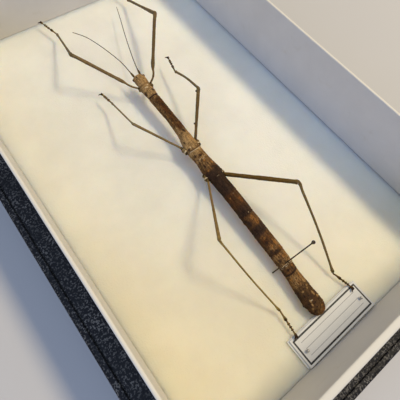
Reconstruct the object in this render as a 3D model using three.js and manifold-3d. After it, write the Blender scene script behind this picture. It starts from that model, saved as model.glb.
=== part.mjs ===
// A pinned stick insect in its open specimen case, life size, in millimetres.
// +Z is up, +Y runs from the label end of the case to the head end, and the origin is the middle
// of the case's underside. Heights of the insect are given above the foam that it is pinned to.

import * as THREE from 'three';
import { mergeVertices } from 'three/addons/utils/BufferGeometryUtils.js';
import Module from 'manifold-3d';

const wasm = await Module();
wasm.setup();

// ---- driving dimensions -------------------------------------------------------------------

const GAP = 0.3;                    // clearance between neighbouring pieces

const INNER_WIDTH = 176;            // clear width between the white walls
const INNER_LENGTH = 282;
const LINER_THICKNESS = 2;
const RIM_ABOVE_FOAM = 43;
const LEDGE_ABOVE_FOAM = 22;
const SHELL_THICKNESS = 11.5;       // dark outer wall, from the liner to the outside
const BASE_THICKNESS = 3;
const FOAM_THICKNESS = 14.5;
const GROOVE_FROM_LINER = 8;        // seam that runs round the ledge
const GROOVE_WIDTH = 0.8;
const GROOVE_DEPTH = 1.2;

const FOAM_TOP = BASE_THICKNESS + FOAM_THICKNESS;
const RIM_TOP = FOAM_TOP + RIM_ABOVE_FOAM;
const LEDGE_TOP = FOAM_TOP + LEDGE_ABOVE_FOAM;
const SHELL_INSET = LINER_THICKNESS + GAP;
const OUTER_OFFSET = SHELL_INSET + SHELL_THICKNESS;

const CARD_WIDTH = 49.3;
const CARD_DEPTH = 15.5;
const CARD_THICKNESS = 0.4;
const CARD_CENTRE = [-1.5, -132.4];
const CARD_TURN = 0.012;            // radians, the label sits a little askew
const BACK_CARD_SHIFT = [-1, 0.5];
const CARD_PIN_SPREAD = 20.55;      // each label pin from the middle of the card
const CARD_PIN_OFF_AXIS = -0.8;
const CARD_PIN_HEAD = 0.8;
const CARD_PIN_IN_FOAM = 7;

const PIN_RADIUS = 0.28;
const PIN_HEAD_RADIUS = 0.78;
const PIN_FOOT = [-8.6, -94.7, 0];
const PIN_TOP = [8.1, -95.5, 25.9];
const PIN_IN_FOAM = 8;
const PIN_POINT = 1.2;
const PIN_CLEARANCE = 0.3;

// Body stations from head to tail: place of the centre line, half width and half height.
const BODY = {
  headFront: { at: [2.15, 52.4, 10.7], half: [2.95, 2.2] },
  brow: { at: [1.8, 50.4, 10.8], half: [3.9, 2.7] },
  cheek: { at: [1.8, 46.6, 10.8], half: [4.0, 2.9] },
  nape: { at: [1.7, 42.7, 10.6], half: [3.4, 2.6] },
  prothoraxFront: { at: [1.65, 42.0, 10.5], half: [3.3, 2.5] },
  prothoraxMiddle: { at: [1.4, 37.2, 10.4], half: [3.9, 2.8] },
  prothoraxRear: { at: [1.3, 32.1, 10.2], half: [3.0, 2.6] },
  collar: { at: [1.15, 31.7, 10.2], half: [3.4, 2.7] },
  waist: { at: [1.25, 14.6, 9.8], half: [3.05, 2.7] },
  flare: { at: [0.45, 0.6, 9.5], half: [3.35, 3.0] },
  midHips: { at: [-0.7, -9.0, 9.2], half: [4.6, 3.5] },
  mesothoraxRear: { at: [-1.0, -14.0, 9.1], half: [4.6, 3.4] },
  metathoraxFront: { at: [-1.0, -14.4, 9.0], half: [4.6, 3.5] },
  metathoraxMiddle: { at: [-0.8, -21.0, 8.8], half: [4.4, 3.4] },
  hindHips: { at: [-0.9, -30.0, 8.5], half: [5.5, 3.6] },
  metathoraxRear: { at: [-0.9, -34.4, 8.2], half: [4.6, 3.4] },
};

// Joints of the abdomen, front to back, each the front end of a segment.
const ABDOMEN_JOINTS = [
  { at: [-0.85, -34.7, 8.2], half: [4.4, 3.4] },
  { at: [-1.0, -47.7, 7.8], half: [4.4, 3.4] },
  { at: [-1.4, -62.7, 7.1], half: [4.35, 3.35] },
  { at: [-1.75, -74.1, 6.6], half: [4.3, 3.3] },
  { at: [-2.05, -88.8, 5.7], half: [4.35, 3.25] },
  { at: [-2.4, -94.8, 5.3], half: [4.15, 3.15] },
  { at: [-2.95, -101.4, 4.9], half: [3.9, 3.1] },
  { at: [-3.8, -111.4, 4.5], half: [4.7, 3.2] },
];
const ABDOMEN_TAIL = [
  { at: [-4.05, -117.0, 4.4], half: [5.0, 3.1] },
  { at: [-4.05, -121.5, 4.4], half: [4.85, 2.8] },
  { at: [-4.0, -124.2, 4.4], half: [4.1, 1.9] },
  { at: [-4.0, -125.6, 4.4], half: [2.6, 1.0] },
];
const BREAK_JOINT = 5;              // the joint that is broken open where the pin goes through
const SEGMENT_SWELL = 0.12;         // a segment is this much fuller than its joints

const EYE_RADIUS = 0.85;
const EYE_FORWARD = 49.6;
const EYE_HEIGHT = 11.3;
const EYE_SPREAD = 3.8;

// Joints of each leg: hip, knee, ankle and tip of the foot. Front thighs have a bent base, and
// some shins are bowed. A thigh has a radius at its base and one where it is thickest.
const LEGS = {
  front_left: {
    hip: [-1.9, 43.6, 9.5], bend: [[-5.1, 46.5, 10.4], [-7.4, 49.6, 11.4], [-9.8, 55.5, 13.3]],
    knee: [-27.6, 75.8, 24.6], ankle: [-20.4, 118.2, 5.5], tip: [-24.1, 134.4, 5.6],
    thigh: [0.5, 0.96], shin: 0.66,
  },
  front_right: {
    hip: [6.1, 43.2, 9.5], bend: [[10.6, 46.2, 10.5], [13.2, 49.8, 11.6], [15.8, 55.3, 13.3]],
    knee: [35.0, 78.4, 24.6], ankle: [39.6, 122.6, 5.5], tip: [37.3, 136.1, 5.6],
    thigh: [0.6, 1.16], shin: 0.78,
  },
  middle_left: {
    hip: [-5.9, -7.4, 8.6],
    knee: [-23.4, 16.4, 19.7], ankle: [-21.9, 44.2, 8.6], tip: [-23.0, 54.8, 7.4],
    thigh: [0.56, 0.74], shin: 0.48,
  },
  middle_right: {
    hip: [4.5, -6.9, 8.6],
    knee: [22.6, 15.0, 21.1], bow: [24.9, 30.4, 15.1], ankle: [25.1, 42.2, 10.2],
    tip: [28.8, 55.6, 9.5], thigh: [0.9, 1.22], shin: 0.64,
  },
  hind_left: {
    hip: [-6.3, -33.0, 7.8],
    knee: [-29.1, -67.7, 27.3], bow: [-25.3, -88.9, 15.2], ankle: [-20.4, -111.4, 3.0],
    tip: [-21.8, -125.4, 2.3], thigh: [0.6, 0.88], shin: 0.48,
  },
  hind_right: {
    hip: [4.2, -35.0, 7.8],
    knee: [24.5, -67.8, 26.8], bow: [21.2, -93.2, 13.5], ankle: [16.5, -114.8, 2.6],
    tip: [19.4, -127.1, 2.3], thigh: [1.05, 1.3], shin: 0.58,
  },
};
const COXA_RADIUS = 1.45;
// Which way a hip reaches into the side of the body: inwards, along the body, and up.
const COXA_REACH = { front: [1.6, -3.4, -0.2], middle: [0.9, -5.0, 0.2], hind: [0.7, 4.5, 0.3] };
const FOOT_RADIUS = 0.66;
const CLAW_RADIUS = 0.8;
const JOINT_RUN_IN = 0.4;           // a shin or foot starts this far inside the joint

const FEELERS = {
  left: [[-0.3, 51.6, 11.7], [-0.8, 64.6, 12.7], [-2.7, 77.1, 12.7], [-5.4, 90.5, 12.0],
    [-8.0, 99.5, 11.3], [-12.6, 108.1, 10.6]],
  right: [[4.2, 51.7, 11.7], [5.4, 57.2, 11.4], [8.5, 67.3, 10.9], [16.1, 88.5, 9.7],
    [22.3, 104.2, 8.4], [27.7, 118.5, 7.0]],
};
const FEELER_ROOT_RADIUS = 0.62;
const FEELER_RADIUS = 0.34;
const FEELER_TIP_RADIUS = 0.26;

// ---- helpers ------------------------------------------------------------------------------

const UP = new THREE.Vector3(0, 0, 1);

/** A point of the insect, given above the foam, in the case's own frame. */
function onFoam([x, y, height]) {
  return new THREE.Vector3(x, y, FOAM_TOP + height);
}

/** A cylinder bent along a curve; every ring has its own half width and half height. */
function bentCylinder(curve, rings, sides) {
  const steps = rings.length - 1;
  const geometry = new THREE.CylinderGeometry(1, 1, 1, sides, steps);
  const position = geometry.attributes.position;
  for (let i = 0; i < position.count; i += 1) {
    const ring = rings[Math.round((position.getY(i) + 0.5) * steps)];
    const centre = curve.getPoint(ring.t);
    const along = curve.getTangent(ring.t);
    const side = new THREE.Vector3().crossVectors(along, UP).normalize();
    const top = new THREE.Vector3().crossVectors(side, along);
    centre.addScaledVector(side, position.getX(i) * ring.half[0]);
    centre.addScaledVector(top, position.getZ(i) * ring.half[1]);
    position.setXYZ(i, centre.x, centre.y, centre.z);
  }
  return geometry;
}

/** A straight-jointed length of the body through a few stations, grown by a clearance. */
function bodyLength(stations, { sides = 18, grow = 0, startGap = 0, endGap = 0 } = {}) {
  const path = new THREE.CurvePath();
  const points = stations.map((station) => onFoam(station.at));
  const last = points.length - 1;
  points[0] = stepTowards(points[0], points[1], startGap - grow);
  points[last] = stepTowards(points[last], points[last - 1], endGap - grow);
  for (let i = 0; i < last; i += 1) {
    path.add(new THREE.LineCurve3(points[i], points[i + 1]));
  }
  const total = path.getLength();
  const lengths = [0, ...path.getCurveLengths()];
  const rings = stations.map((station, i) => ({
    t: lengths[i] / total,
    half: station.half.map((size) => size + grow),
  }));
  return bentCylinder(path, rings, sides);
}

function stepTowards(from, to, distance) {
  return from.clone().add(to.clone().sub(from).setLength(distance));
}

/** A round limb along a curve; the profile lists [part of the way, radius] pairs. */
function roundLimb(curve, profile, { sides = 8, grow = 0 } = {}) {
  const rings = profile.map(([t, radius]) => ({ t, half: [radius + grow, radius + grow] }));
  return bentCylinder(curve, rings, sides);
}

function toSolid(geometry) {
  const bare = geometry.clone();
  bare.deleteAttribute('normal');
  bare.deleteAttribute('uv');
  const merged = mergeVertices(bare, 1e-4);
  return new wasm.Manifold(new wasm.Mesh({
    numProp: 3,
    vertProperties: new Float32Array(merged.attributes.position.array),
    triVerts: new Uint32Array(merged.index.array),
  }));
}

function toGeometry(solid) {
  const mesh = solid.getMesh();
  const geometry = new THREE.BufferGeometry();
  geometry.setAttribute('position', new THREE.BufferAttribute(mesh.vertProperties, 3));
  geometry.setIndex(new THREE.BufferAttribute(mesh.triVerts, 1));
  geometry.computeVertexNormals();
  return geometry;
}

/** The first shape less all the others. */
function cut(geometry, ...tools) {
  let solid = toSolid(geometry);
  for (const tool of tools) {
    solid = solid.subtract(toSolid(tool));
  }
  return toGeometry(solid);
}

/** A cylinder between two points. */
function rod(from, to, radius, sides = 12) {
  const length = from.distanceTo(to);
  const geometry = new THREE.CylinderGeometry(radius, radius, length, sides);
  geometry.translate(0, length / 2, 0);
  const turn = new THREE.Quaternion().setFromUnitVectors(
    new THREE.Vector3(0, 1, 0),
    to.clone().sub(from).normalize(),
  );
  geometry.applyQuaternion(turn);
  geometry.translate(from.x, from.y, from.z);
  return geometry;
}

const part = new THREE.Group();

function place(name, geometry, material, parent = part) {
  const mesh = new THREE.Mesh(geometry, material);
  mesh.name = name;
  parent.add(mesh);
  return mesh;
}

const leatherette = () => new THREE.MeshStandardMaterial({ color: 0x1b1c22, roughness: 0.6 });
const whiteBoard = () => new THREE.MeshStandardMaterial({ color: 0xe4dfd8, roughness: 0.7 });
const foam = () => new THREE.MeshStandardMaterial({ color: 0xece1cc, roughness: 0.95 });
const card = () => new THREE.MeshStandardMaterial({ color: 0xf2ece2, roughness: 0.85 });
const steel = () => new THREE.MeshStandardMaterial({
  color: 0xb8b6b0, roughness: 0.3, metalness: 0.9,
});
const blackPin = () => new THREE.MeshStandardMaterial({
  color: 0x1c1813, roughness: 0.3, metalness: 0.4,
});
const tanShell = () => new THREE.MeshStandardMaterial({ color: 0x96754a, roughness: 0.55 });
const brownShell = () => new THREE.MeshStandardMaterial({ color: 0x6b4524, roughness: 0.55 });
const darkShell = () => new THREE.MeshStandardMaterial({ color: 0x30201a, roughness: 0.5 });
const legShell = () => new THREE.MeshStandardMaterial({ color: 0x7a6542, roughness: 0.6 });
const feelerShell = () => new THREE.MeshStandardMaterial({ color: 0x4c4136, roughness: 0.6 });
const eyeGloss = () => new THREE.MeshStandardMaterial({ color: 0x3a2a18, roughness: 0.25 });

// ---- the case -----------------------------------------------------------------------------

/** One wall of a rectangular ring round the inside, with mitred ends. */
function mitredWall(side, inset, thickness, bottom, top) {
  const across = side === 'left' || side === 'right';
  const halfWidth = INNER_WIDTH / 2 + inset;
  const halfLength = INNER_LENGTH / 2 + inset;
  const near = across ? halfWidth : halfLength;
  const run = (across ? halfLength : halfWidth) - GAP / 2;
  const outline = new THREE.Shape([
    new THREE.Vector2(-run, near),
    new THREE.Vector2(run, near),
    new THREE.Vector2(run + thickness, near + thickness),
    new THREE.Vector2(-run - thickness, near + thickness),
  ]);
  const geometry = new THREE.ExtrudeGeometry(outline, { depth: top - bottom, bevelEnabled: false });
  const turns = { head: 0, left: Math.PI / 2, label: Math.PI, right: -Math.PI / 2 };
  geometry.rotateZ(turns[side]);
  geometry.translate(0, 0, bottom);
  return geometry;
}

/** A seam round the ledge, as four thin boxes along its sides. */
function ledgeSeam() {
  const reach = SHELL_INSET + GROOVE_FROM_LINER + GROOVE_WIDTH / 2;
  const halfWidth = INNER_WIDTH / 2 + reach;
  const halfLength = INNER_LENGTH / 2 + reach;
  const boxes = [];
  for (const sign of [-1, 1]) {
    const long = new THREE.BoxGeometry(
      GROOVE_WIDTH,
      2 * halfLength + GROOVE_WIDTH,
      2 * GROOVE_DEPTH,
    );
    boxes.push(long.translate(sign * halfWidth, 0, LEDGE_TOP));
    const short = new THREE.BoxGeometry(
      2 * halfWidth + GROOVE_WIDTH,
      GROOVE_WIDTH,
      2 * GROOVE_DEPTH,
    );
    boxes.push(short.translate(0, sign * halfLength, LEDGE_TOP));
  }
  return boxes;
}

const pinAxis = onFoam(PIN_TOP).sub(onFoam(PIN_FOOT)).normalize();
const pinPoint = onFoam(PIN_FOOT).addScaledVector(pinAxis, -PIN_IN_FOAM);
const pinHole = rod(
  pinPoint.clone().addScaledVector(pinAxis, -PIN_CLEARANCE),
  onFoam(PIN_TOP),
  PIN_RADIUS + PIN_CLEARANCE,
);

const labelGroup = new THREE.Group();
labelGroup.position.set(CARD_CENTRE[0], CARD_CENTRE[1], FOAM_TOP);
labelGroup.rotation.z = CARD_TURN;
labelGroup.updateMatrixWorld();

const cardPinHole = (x, grow) => new THREE.CylinderGeometry(
  PIN_RADIUS + grow,
  PIN_RADIUS + grow,
  2 * (CARD_PIN_IN_FOAM + grow),
  10,
).rotateX(Math.PI / 2).translate(x, CARD_PIN_OFF_AXIS, 0);

function makeCase() {
  const outerWidth = INNER_WIDTH + 2 * OUTER_OFFSET;
  const outerLength = INNER_LENGTH + 2 * OUTER_OFFSET;
  const base = new THREE.BoxGeometry(outerWidth, outerLength, BASE_THICKNESS);
  place('case_base', base.translate(0, 0, BASE_THICKNESS / 2), leatherette());
  const seams = ledgeSeam();
  for (const side of ['left', 'right', 'head', 'label']) {
    const shell = mitredWall(side, SHELL_INSET, SHELL_THICKNESS, BASE_THICKNESS, LEDGE_TOP);
    place(`case_shell_${side}`, cut(shell, ...seams), leatherette());
    const liner = mitredWall(side, 0, LINER_THICKNESS, BASE_THICKNESS, RIM_TOP);
    place(`case_liner_${side}`, liner, whiteBoard());
  }
  const floor = new THREE.BoxGeometry(
    INNER_WIDTH - 2 * GAP,
    INNER_LENGTH - 2 * GAP,
    FOAM_THICKNESS,
  ).translate(0, 0, BASE_THICKNESS + FOAM_THICKNESS / 2);
  const holes = [-CARD_PIN_SPREAD, CARD_PIN_SPREAD].map(
    (x) => cardPinHole(x, PIN_CLEARANCE).applyMatrix4(labelGroup.matrixWorld),
  );
  place('case_foam', cut(floor, pinHole, ...holes), foam());
}

// ---- the label and its pins ---------------------------------------------------------------

/** A pin stood on its point: shaft and ball turned as one, with the ball's centre at the length. */
function turnedPin(length, headRadius) {
  const profile = [new THREE.Vector2(0, 0), new THREE.Vector2(PIN_RADIUS, PIN_POINT)];
  const steps = 6;
  const start = Math.asin(PIN_RADIUS / headRadius);
  for (let i = 0; i <= steps; i += 1) {
    const angle = start + (Math.PI - start) * (i / steps);
    const radius = i === steps ? 0 : headRadius * Math.sin(angle);
    profile.push(new THREE.Vector2(radius, length - headRadius * Math.cos(angle)));
  }
  return new THREE.LatheGeometry(profile, 12);
}

function makeLabel() {
  const tools = [-CARD_PIN_SPREAD, CARD_PIN_SPREAD].map((x) => cardPinHole(x, PIN_CLEARANCE));
  const back = new THREE.BoxGeometry(CARD_WIDTH, CARD_DEPTH, CARD_THICKNESS);
  back.translate(BACK_CARD_SHIFT[0], BACK_CARD_SHIFT[1], GAP + CARD_THICKNESS / 2);
  place('label_back_card', cut(back, ...tools), card(), labelGroup);
  const cardTop = 2 * (GAP + CARD_THICKNESS);
  const front = new THREE.BoxGeometry(CARD_WIDTH, CARD_DEPTH, CARD_THICKNESS);
  front.translate(0, 0, cardTop - CARD_THICKNESS / 2);
  place('label_card', cut(front, ...tools), card(), labelGroup);
  for (const [name, x] of [['left', -CARD_PIN_SPREAD], ['right', CARD_PIN_SPREAD]]) {
    const reach = CARD_PIN_IN_FOAM + cardTop + GAP + CARD_PIN_HEAD;
    const pin = turnedPin(reach, CARD_PIN_HEAD).rotateX(Math.PI / 2);
    pin.translate(x, CARD_PIN_OFF_AXIS, -CARD_PIN_IN_FOAM);
    place(`label_pin_${name}`, pin, steel(), labelGroup);
  }
  part.add(labelGroup);
}

function makeSpecimenPin() {
  const length = pinPoint.distanceTo(onFoam(PIN_TOP));
  const pin = turnedPin(length, PIN_HEAD_RADIUS);
  const turn = new THREE.Quaternion().setFromUnitVectors(new THREE.Vector3(0, 1, 0), pinAxis);
  pin.applyQuaternion(turn);
  pin.translate(pinPoint.x, pinPoint.y, pinPoint.z);
  place('specimen_pin', pin, blackPin());
}

// ---- the insect ---------------------------------------------------------------------------

const bodyPieces = {
  head: [BODY.headFront, BODY.brow, BODY.cheek, BODY.nape],
  prothorax: [BODY.prothoraxFront, BODY.prothoraxMiddle, BODY.prothoraxRear],
  mesothorax: [BODY.collar, BODY.waist, BODY.flare, BODY.midHips, BODY.mesothoraxRear],
  metathorax: [BODY.metathoraxFront, BODY.metathoraxMiddle, BODY.hindHips, BODY.metathoraxRear],
};

function makeEyes() {
  const sockets = [];
  for (const [side, sign] of [['left', -1], ['right', 1]]) {
    const centre = onFoam([BODY.brow.at[0] + sign * EYE_SPREAD, EYE_FORWARD, EYE_HEIGHT]);
    const ball = (radius) => new THREE.SphereGeometry(radius, 12, 8)
      .scale(0.8, 1.1, 1)
      .translate(centre.x, centre.y, centre.z);
    sockets.push(ball(EYE_RADIUS + GAP));
    place(`eye_${side}`, ball(EYE_RADIUS), eyeGloss());
  }
  return sockets;
}

function makeFeelers() {
  const roots = [];
  for (const [side, points] of Object.entries(FEELERS)) {
    const curve = new THREE.CatmullRomCurve3(points.map(onFoam));
    const profile = [[0, FEELER_ROOT_RADIUS], [0.03, FEELER_ROOT_RADIUS], [0.05, FEELER_RADIUS]];
    const steps = 14;
    for (let i = 1; i <= steps; i += 1) {
      const t = 0.05 + 0.95 * (i / steps);
      profile.push([t, THREE.MathUtils.lerp(FEELER_RADIUS, FEELER_TIP_RADIUS, t)]);
    }
    place(`antenna_${side}`, roundLimb(curve, profile, { sides: 6 }), feelerShell());
    roots.push(roundLimb(curve, profile.slice(0, 3), { sides: 6, grow: GAP }));
  }
  return roots;
}

function makeBody() {
  const sockets = makeEyes();
  const roots = makeFeelers();
  const finishes = { head: tanShell, prothorax: tanShell, mesothorax: brownShell };
  for (const [name, stations] of Object.entries(bodyPieces)) {
    const solid = bodyLength(stations);
    const shape = name === 'head' ? cut(solid, ...sockets, ...roots) : solid;
    place(name, shape, (finishes[name] ?? brownShell)());
  }
  makeAbdomen();
}

/** Joints of the abdomen with a slightly fuller ring half way along each segment. */
function makeAbdomen() {
  ABDOMEN_JOINTS.forEach((joint, i) => {
    const next = ABDOMEN_JOINTS[i + 1];
    const stations = next ? [joint, swollenBetween(joint, next), next] : [joint, ...ABDOMEN_TAIL];
    const endGap = next ? GAP : 0;
    const solid = bodyLength(stations, { endGap });
    const pierced = i === BREAK_JOINT - 1 || i === BREAK_JOINT;
    const finish = i < 2 ? darkShell : brownShell;
    place(`abdomen_${i + 1}`, pierced ? cut(solid, pinHole) : solid, finish());
  });
}

function swollenBetween(front, rear) {
  return {
    at: front.at.map((value, axis) => (value + rear.at[axis]) / 2),
    half: front.half.map((size, axis) => (size + rear.half[axis]) / 2 + SEGMENT_SWELL),
  };
}

/** A leg as hip, thigh, shin and foot; each is cut back from what it grows from. */
function makeLeg(name, leg, trunk) {
  const hip = onFoam(leg.hip);
  const knee = onFoam(leg.knee);
  const ankle = onFoam(leg.ankle);
  const tip = onFoam(leg.tip);
  const [inwards, along, up] = COXA_REACH[name.split('_')[0]];
  const reach = new THREE.Vector3(leg.hip[0] < 0 ? inwards : -inwards, along, up);
  const coxaPath = new THREE.LineCurve3(hip.clone().add(reach), hip);
  const coxaProfile = [[0, COXA_RADIUS], [0.7, COXA_RADIUS], [1, 0.85 * COXA_RADIUS]];
  const coxa = (grow) => roundLimb(coxaPath, coxaProfile, { grow });
  place(`coxa_${name}`, cut(coxa(0), ...trunk), legShell());

  const [base, thick] = leg.thigh;
  const bend = (leg.bend ?? []).map(onFoam);
  const thighPath = new THREE.CatmullRomCurve3([hip, ...bend, knee], false, 'centripetal');
  const thighProfile = leg.bend
    ? [[0, 1.1 * base], [0.1, base], [0.24, base], [0.36, 0.85 * thick], [0.6, thick],
      [0.96, thick], [1, 0.95 * thick]]
    : [[0, 1.1 * base], [0.2, base], [0.6, (base + thick) / 2], [0.9, thick], [1, 0.95 * thick]];
  const thigh = (grow) => roundLimb(thighPath, thighProfile, { grow });
  place(`femur_${name}`, cut(thigh(0), coxa(GAP), ...trunk), legShell());

  const bow = leg.bow ? [onFoam(leg.bow)] : [];
  const shinStart = stepTowards(knee, ankle, -JOINT_RUN_IN);
  const shinPath = new THREE.CatmullRomCurve3([shinStart, ...bow, ankle]);
  const shinProfile = [[0, 0.9 * thick], [0.04, 1.15 * leg.shin], [0.2, leg.shin],
    [0.4, leg.shin], [0.6, leg.shin], [0.8, leg.shin], [0.93, leg.shin], [1, 1.2 * leg.shin]];
  const shin = (grow) => roundLimb(shinPath, shinProfile, { grow });
  place(`tibia_${name}`, cut(shin(0), thigh(GAP)), legShell());

  const footPath = new THREE.LineCurve3(stepTowards(ankle, tip, -JOINT_RUN_IN), tip);
  const footProfile = [[0, FOOT_RADIUS], [0.4, FOOT_RADIUS], [0.45, 1.25 * FOOT_RADIUS],
    [0.5, FOOT_RADIUS], [0.88, FOOT_RADIUS], [0.94, CLAW_RADIUS], [1, 0.6 * CLAW_RADIUS]];
  place(`tarsus_${name}`, cut(roundLimb(footPath, footProfile), shin(GAP)), legShell());
}

function makeLegs() {
  const trunk = ['head', 'prothorax', 'mesothorax', 'metathorax'].map(
    (name) => bodyLength(bodyPieces[name], { grow: GAP }),
  );
  trunk.push(bodyLength(ABDOMEN_JOINTS.slice(0, 2), { grow: GAP }));
  for (const [name, leg] of Object.entries(LEGS)) {
    makeLeg(name, leg, trunk);
  }
}

makeCase();
makeLabel();
makeSpecimenPin();
makeBody();
makeLegs();

export default part;
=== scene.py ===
import math

import bpy
import numpy as np
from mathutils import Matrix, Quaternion, Vector


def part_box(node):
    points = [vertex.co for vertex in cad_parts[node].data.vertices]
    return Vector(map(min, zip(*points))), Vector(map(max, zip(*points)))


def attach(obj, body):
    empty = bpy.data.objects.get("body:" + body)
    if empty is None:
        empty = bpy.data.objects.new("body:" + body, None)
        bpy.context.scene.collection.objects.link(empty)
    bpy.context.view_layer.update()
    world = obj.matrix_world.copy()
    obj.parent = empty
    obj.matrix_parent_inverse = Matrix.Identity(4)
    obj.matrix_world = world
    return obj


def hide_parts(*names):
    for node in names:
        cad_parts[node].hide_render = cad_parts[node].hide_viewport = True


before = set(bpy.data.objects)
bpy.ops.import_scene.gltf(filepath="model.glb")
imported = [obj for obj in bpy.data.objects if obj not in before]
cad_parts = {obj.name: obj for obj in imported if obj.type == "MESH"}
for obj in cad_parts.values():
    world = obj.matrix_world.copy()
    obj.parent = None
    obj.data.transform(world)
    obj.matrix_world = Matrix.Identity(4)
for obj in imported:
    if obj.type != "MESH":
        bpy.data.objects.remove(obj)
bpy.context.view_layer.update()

# Sizes and places are in millimetres, and turn into metres where Blender takes them.
MM = 0.001
UP = np.array((0.0, 0.0, 1.0))
POLE = 0.12               # the angle at which a ball's rings end, before its pole
rng = np.random.default_rng(41)

# ---- palette ----


def srgb(red, green, blue):
    """A colour given in ordinary 0-255 values, as the linear numbers that shaders take."""
    parts = [value / 255 for value in (red, green, blue)]
    linear = [p / 12.92 if p <= 0.04045 else ((p + 0.055) / 1.055) ** 2.4 for p in parts]
    return (*linear, 1.0)


TAN = srgb(156, 122, 76)
PALE_TAN = srgb(170, 140, 98)
UMBER = srgb(66, 44, 20)
UMBER_RED = srgb(80, 47, 21)
SOOT = srgb(49, 34, 23)
RUST = srgb(108, 66, 27)
OCHRE = srgb(148, 98, 44)
BONE = srgb(196, 174, 138)
LEG_BROWN = srgb(98, 78, 46)
LEG_DARK = srgb(58, 42, 22)
# The thigh and the shin of each leg.
LEG_TONES = {
    "front_left": (srgb(118, 95, 60), srgb(112, 96, 66)),
    "front_right": (srgb(98, 78, 47), srgb(118, 98, 66)),
    "middle_left": (srgb(124, 101, 62), srgb(130, 114, 84)),
    "middle_right": (srgb(96, 75, 42), srgb(114, 96, 64)),
    "hind_left": (srgb(122, 97, 56), srgb(138, 115, 64)),
    "hind_right": (srgb(98, 72, 32), srgb(112, 92, 56)),
}
EYE_BROWN = srgb(78, 50, 26)
EYE_DARK = srgb(42, 27, 16)
FOAM = (0.79, 0.75, 0.64, 1.0)
FOAM_SHADE = (0.72, 0.64, 0.50, 1.0)
# Painted warmer light on the foam, towards the label end and the left.
FOAM_WARM_LIGHT = (0.80, 0.70, 0.48, 1.0)
BOARD = (0.66, 0.64, 0.60, 1.0)
BOARD_AGED = (0.57, 0.53, 0.45, 1.0)
BOARD_RIM = (0.70, 0.645, 0.53, 1.0)
CARD = (0.67, 0.655, 0.62, 1.0)
CARD_FOXED = (0.55, 0.50, 0.41, 1.0)
INK = (0.012, 0.011, 0.011, 1.0)
LEATHERETTE = (0.007, 0.0065, 0.0075, 1.0)
# Painted glints on the pebbled cloth.
LEATHERETTE_GLINT = (0.11, 0.10, 0.085, 1.0)
STEEL = (0.50, 0.48, 0.45, 1.0)
STEEL_DULL = (0.34, 0.31, 0.27, 1.0)
BLACK_PIN = (0.050, 0.036, 0.020, 1.0)
BLACK_PIN_WORN = (0.110, 0.078, 0.040, 1.0)
FLOOR = (0.54, 0.52, 0.495, 1.0)
ROOM_LIGHT = (0.21, 0.21, 0.25, 1.0)
LAMP_LIGHT = (1.0, 0.845, 0.56)
CEILING_LIGHT = (0.48, 0.69, 1.0)
WINDOW_LIGHT = (0.34, 0.48, 0.94)

# ---- numbers ----


def clamp(value):
    return np.clip(value, 0.0, 1.0)


def smooth(low, high, value):
    """0 below low, 1 above high, with an S-shaped ramp between them."""
    t = clamp((np.asarray(value, dtype=float) - low) / (high - low))
    return t * t * (3.0 - 2.0 * t)


def bell(value, centre, width):
    return np.exp(-(((value - centre) / width) ** 2))


def soft_noise(u, v, wrap=None):
    """Seeded noise from -1 to 1, one cell to a unit; v repeats after wrap cells."""
    u, v = np.broadcast_arrays(np.asarray(u, dtype=float), np.asarray(v, dtype=float))
    u = u - u.min()
    v = v if wrap else v - v.min()
    columns = wrap or int(v.max()) + 2
    table = rng.uniform(-1.0, 1.0, (int(u.max()) + 2, columns))
    i = np.floor(u).astype(int)
    j = np.floor(v).astype(int)
    fu = smooth(0.0, 1.0, u - i)
    fv = smooth(0.0, 1.0, v - j)
    near = table[i, j % columns] * (1 - fv) + table[i, (j + 1) % columns] * fv
    far = table[i + 1, j % columns] * (1 - fv) + table[i + 1, (j + 1) % columns] * fv
    return near * (1 - fu) + far * fu


def unit(vector):
    return vector / np.linalg.norm(vector)


def circle(count):
    """Angles evenly round a full turn."""
    return np.linspace(0.0, 2 * math.pi, count, endpoint=False)


def distance_along(path):
    return np.concatenate([[0.0], np.cumsum(np.linalg.norm(np.diff(path, axis=0), axis=1))])


def smooth_path(points, count):
    """An even walk of count points along a soft curve through the given ones."""
    points = np.asarray(points, dtype=float)
    reach = distance_along(points)
    slope = np.gradient(points, reach, axis=0)
    at = np.linspace(0.0, reach[-1], count)
    i = np.clip(np.searchsorted(reach, at, side="right") - 1, 0, len(points) - 2)
    span = (reach[i + 1] - reach[i])[:, None]
    t = (at - reach[i])[:, None] / span
    return (
        (2 * t**3 - 3 * t**2 + 1) * points[i]
        + (t**3 - 2 * t**2 + t) * span * slope[i]
        + (3 * t**2 - 2 * t**3) * points[i + 1]
        + (t**3 - t**2) * span * slope[i + 1]
    )


# ---- measuring the frame ----


def node_mesh(name):
    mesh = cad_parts[name].data
    points = np.empty(3 * len(mesh.vertices))
    mesh.vertices.foreach_get("co", points)
    edges = np.empty(2 * len(mesh.edges), dtype=np.int32)
    mesh.edges.foreach_get("vertices", edges)
    return points.reshape(-1, 3) / MM, edges.reshape(-1, 2)


def box(name):
    """A node's low and high corners."""
    return np.array([list(corner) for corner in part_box(name)]) / MM


def middle_of(name):
    return box(name).mean(axis=0)


def half_of(name):
    low, high = box(name)
    return (high - low) / 2


def cuts(name, along, distances):
    """Planes across a direction through a node: middle, half width and half height of each cut."""
    points, edges = node_mesh(name)
    side = unit(np.cross(along, UP))
    top = np.cross(side, along)
    height = points @ along
    rows = []
    for distance in distances:
        first, second = (height[edges] - distance).T
        crossing = first * second < 0
        if not crossing.any():
            continue
        share = (first[crossing] / (first - second)[crossing])[:, None]
        start, end = points[edges[crossing].T]
        hit = start * (1 - share) + end * share
        u, v = hit @ side, hit @ top
        middle = along * distance + side * (u.max() + u.min()) / 2 + top * (v.max() + v.min()) / 2
        rows.append([*middle, (u.max() - u.min()) / 2, (v.max() - v.min()) / 2])
    return np.array(rows)


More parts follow.
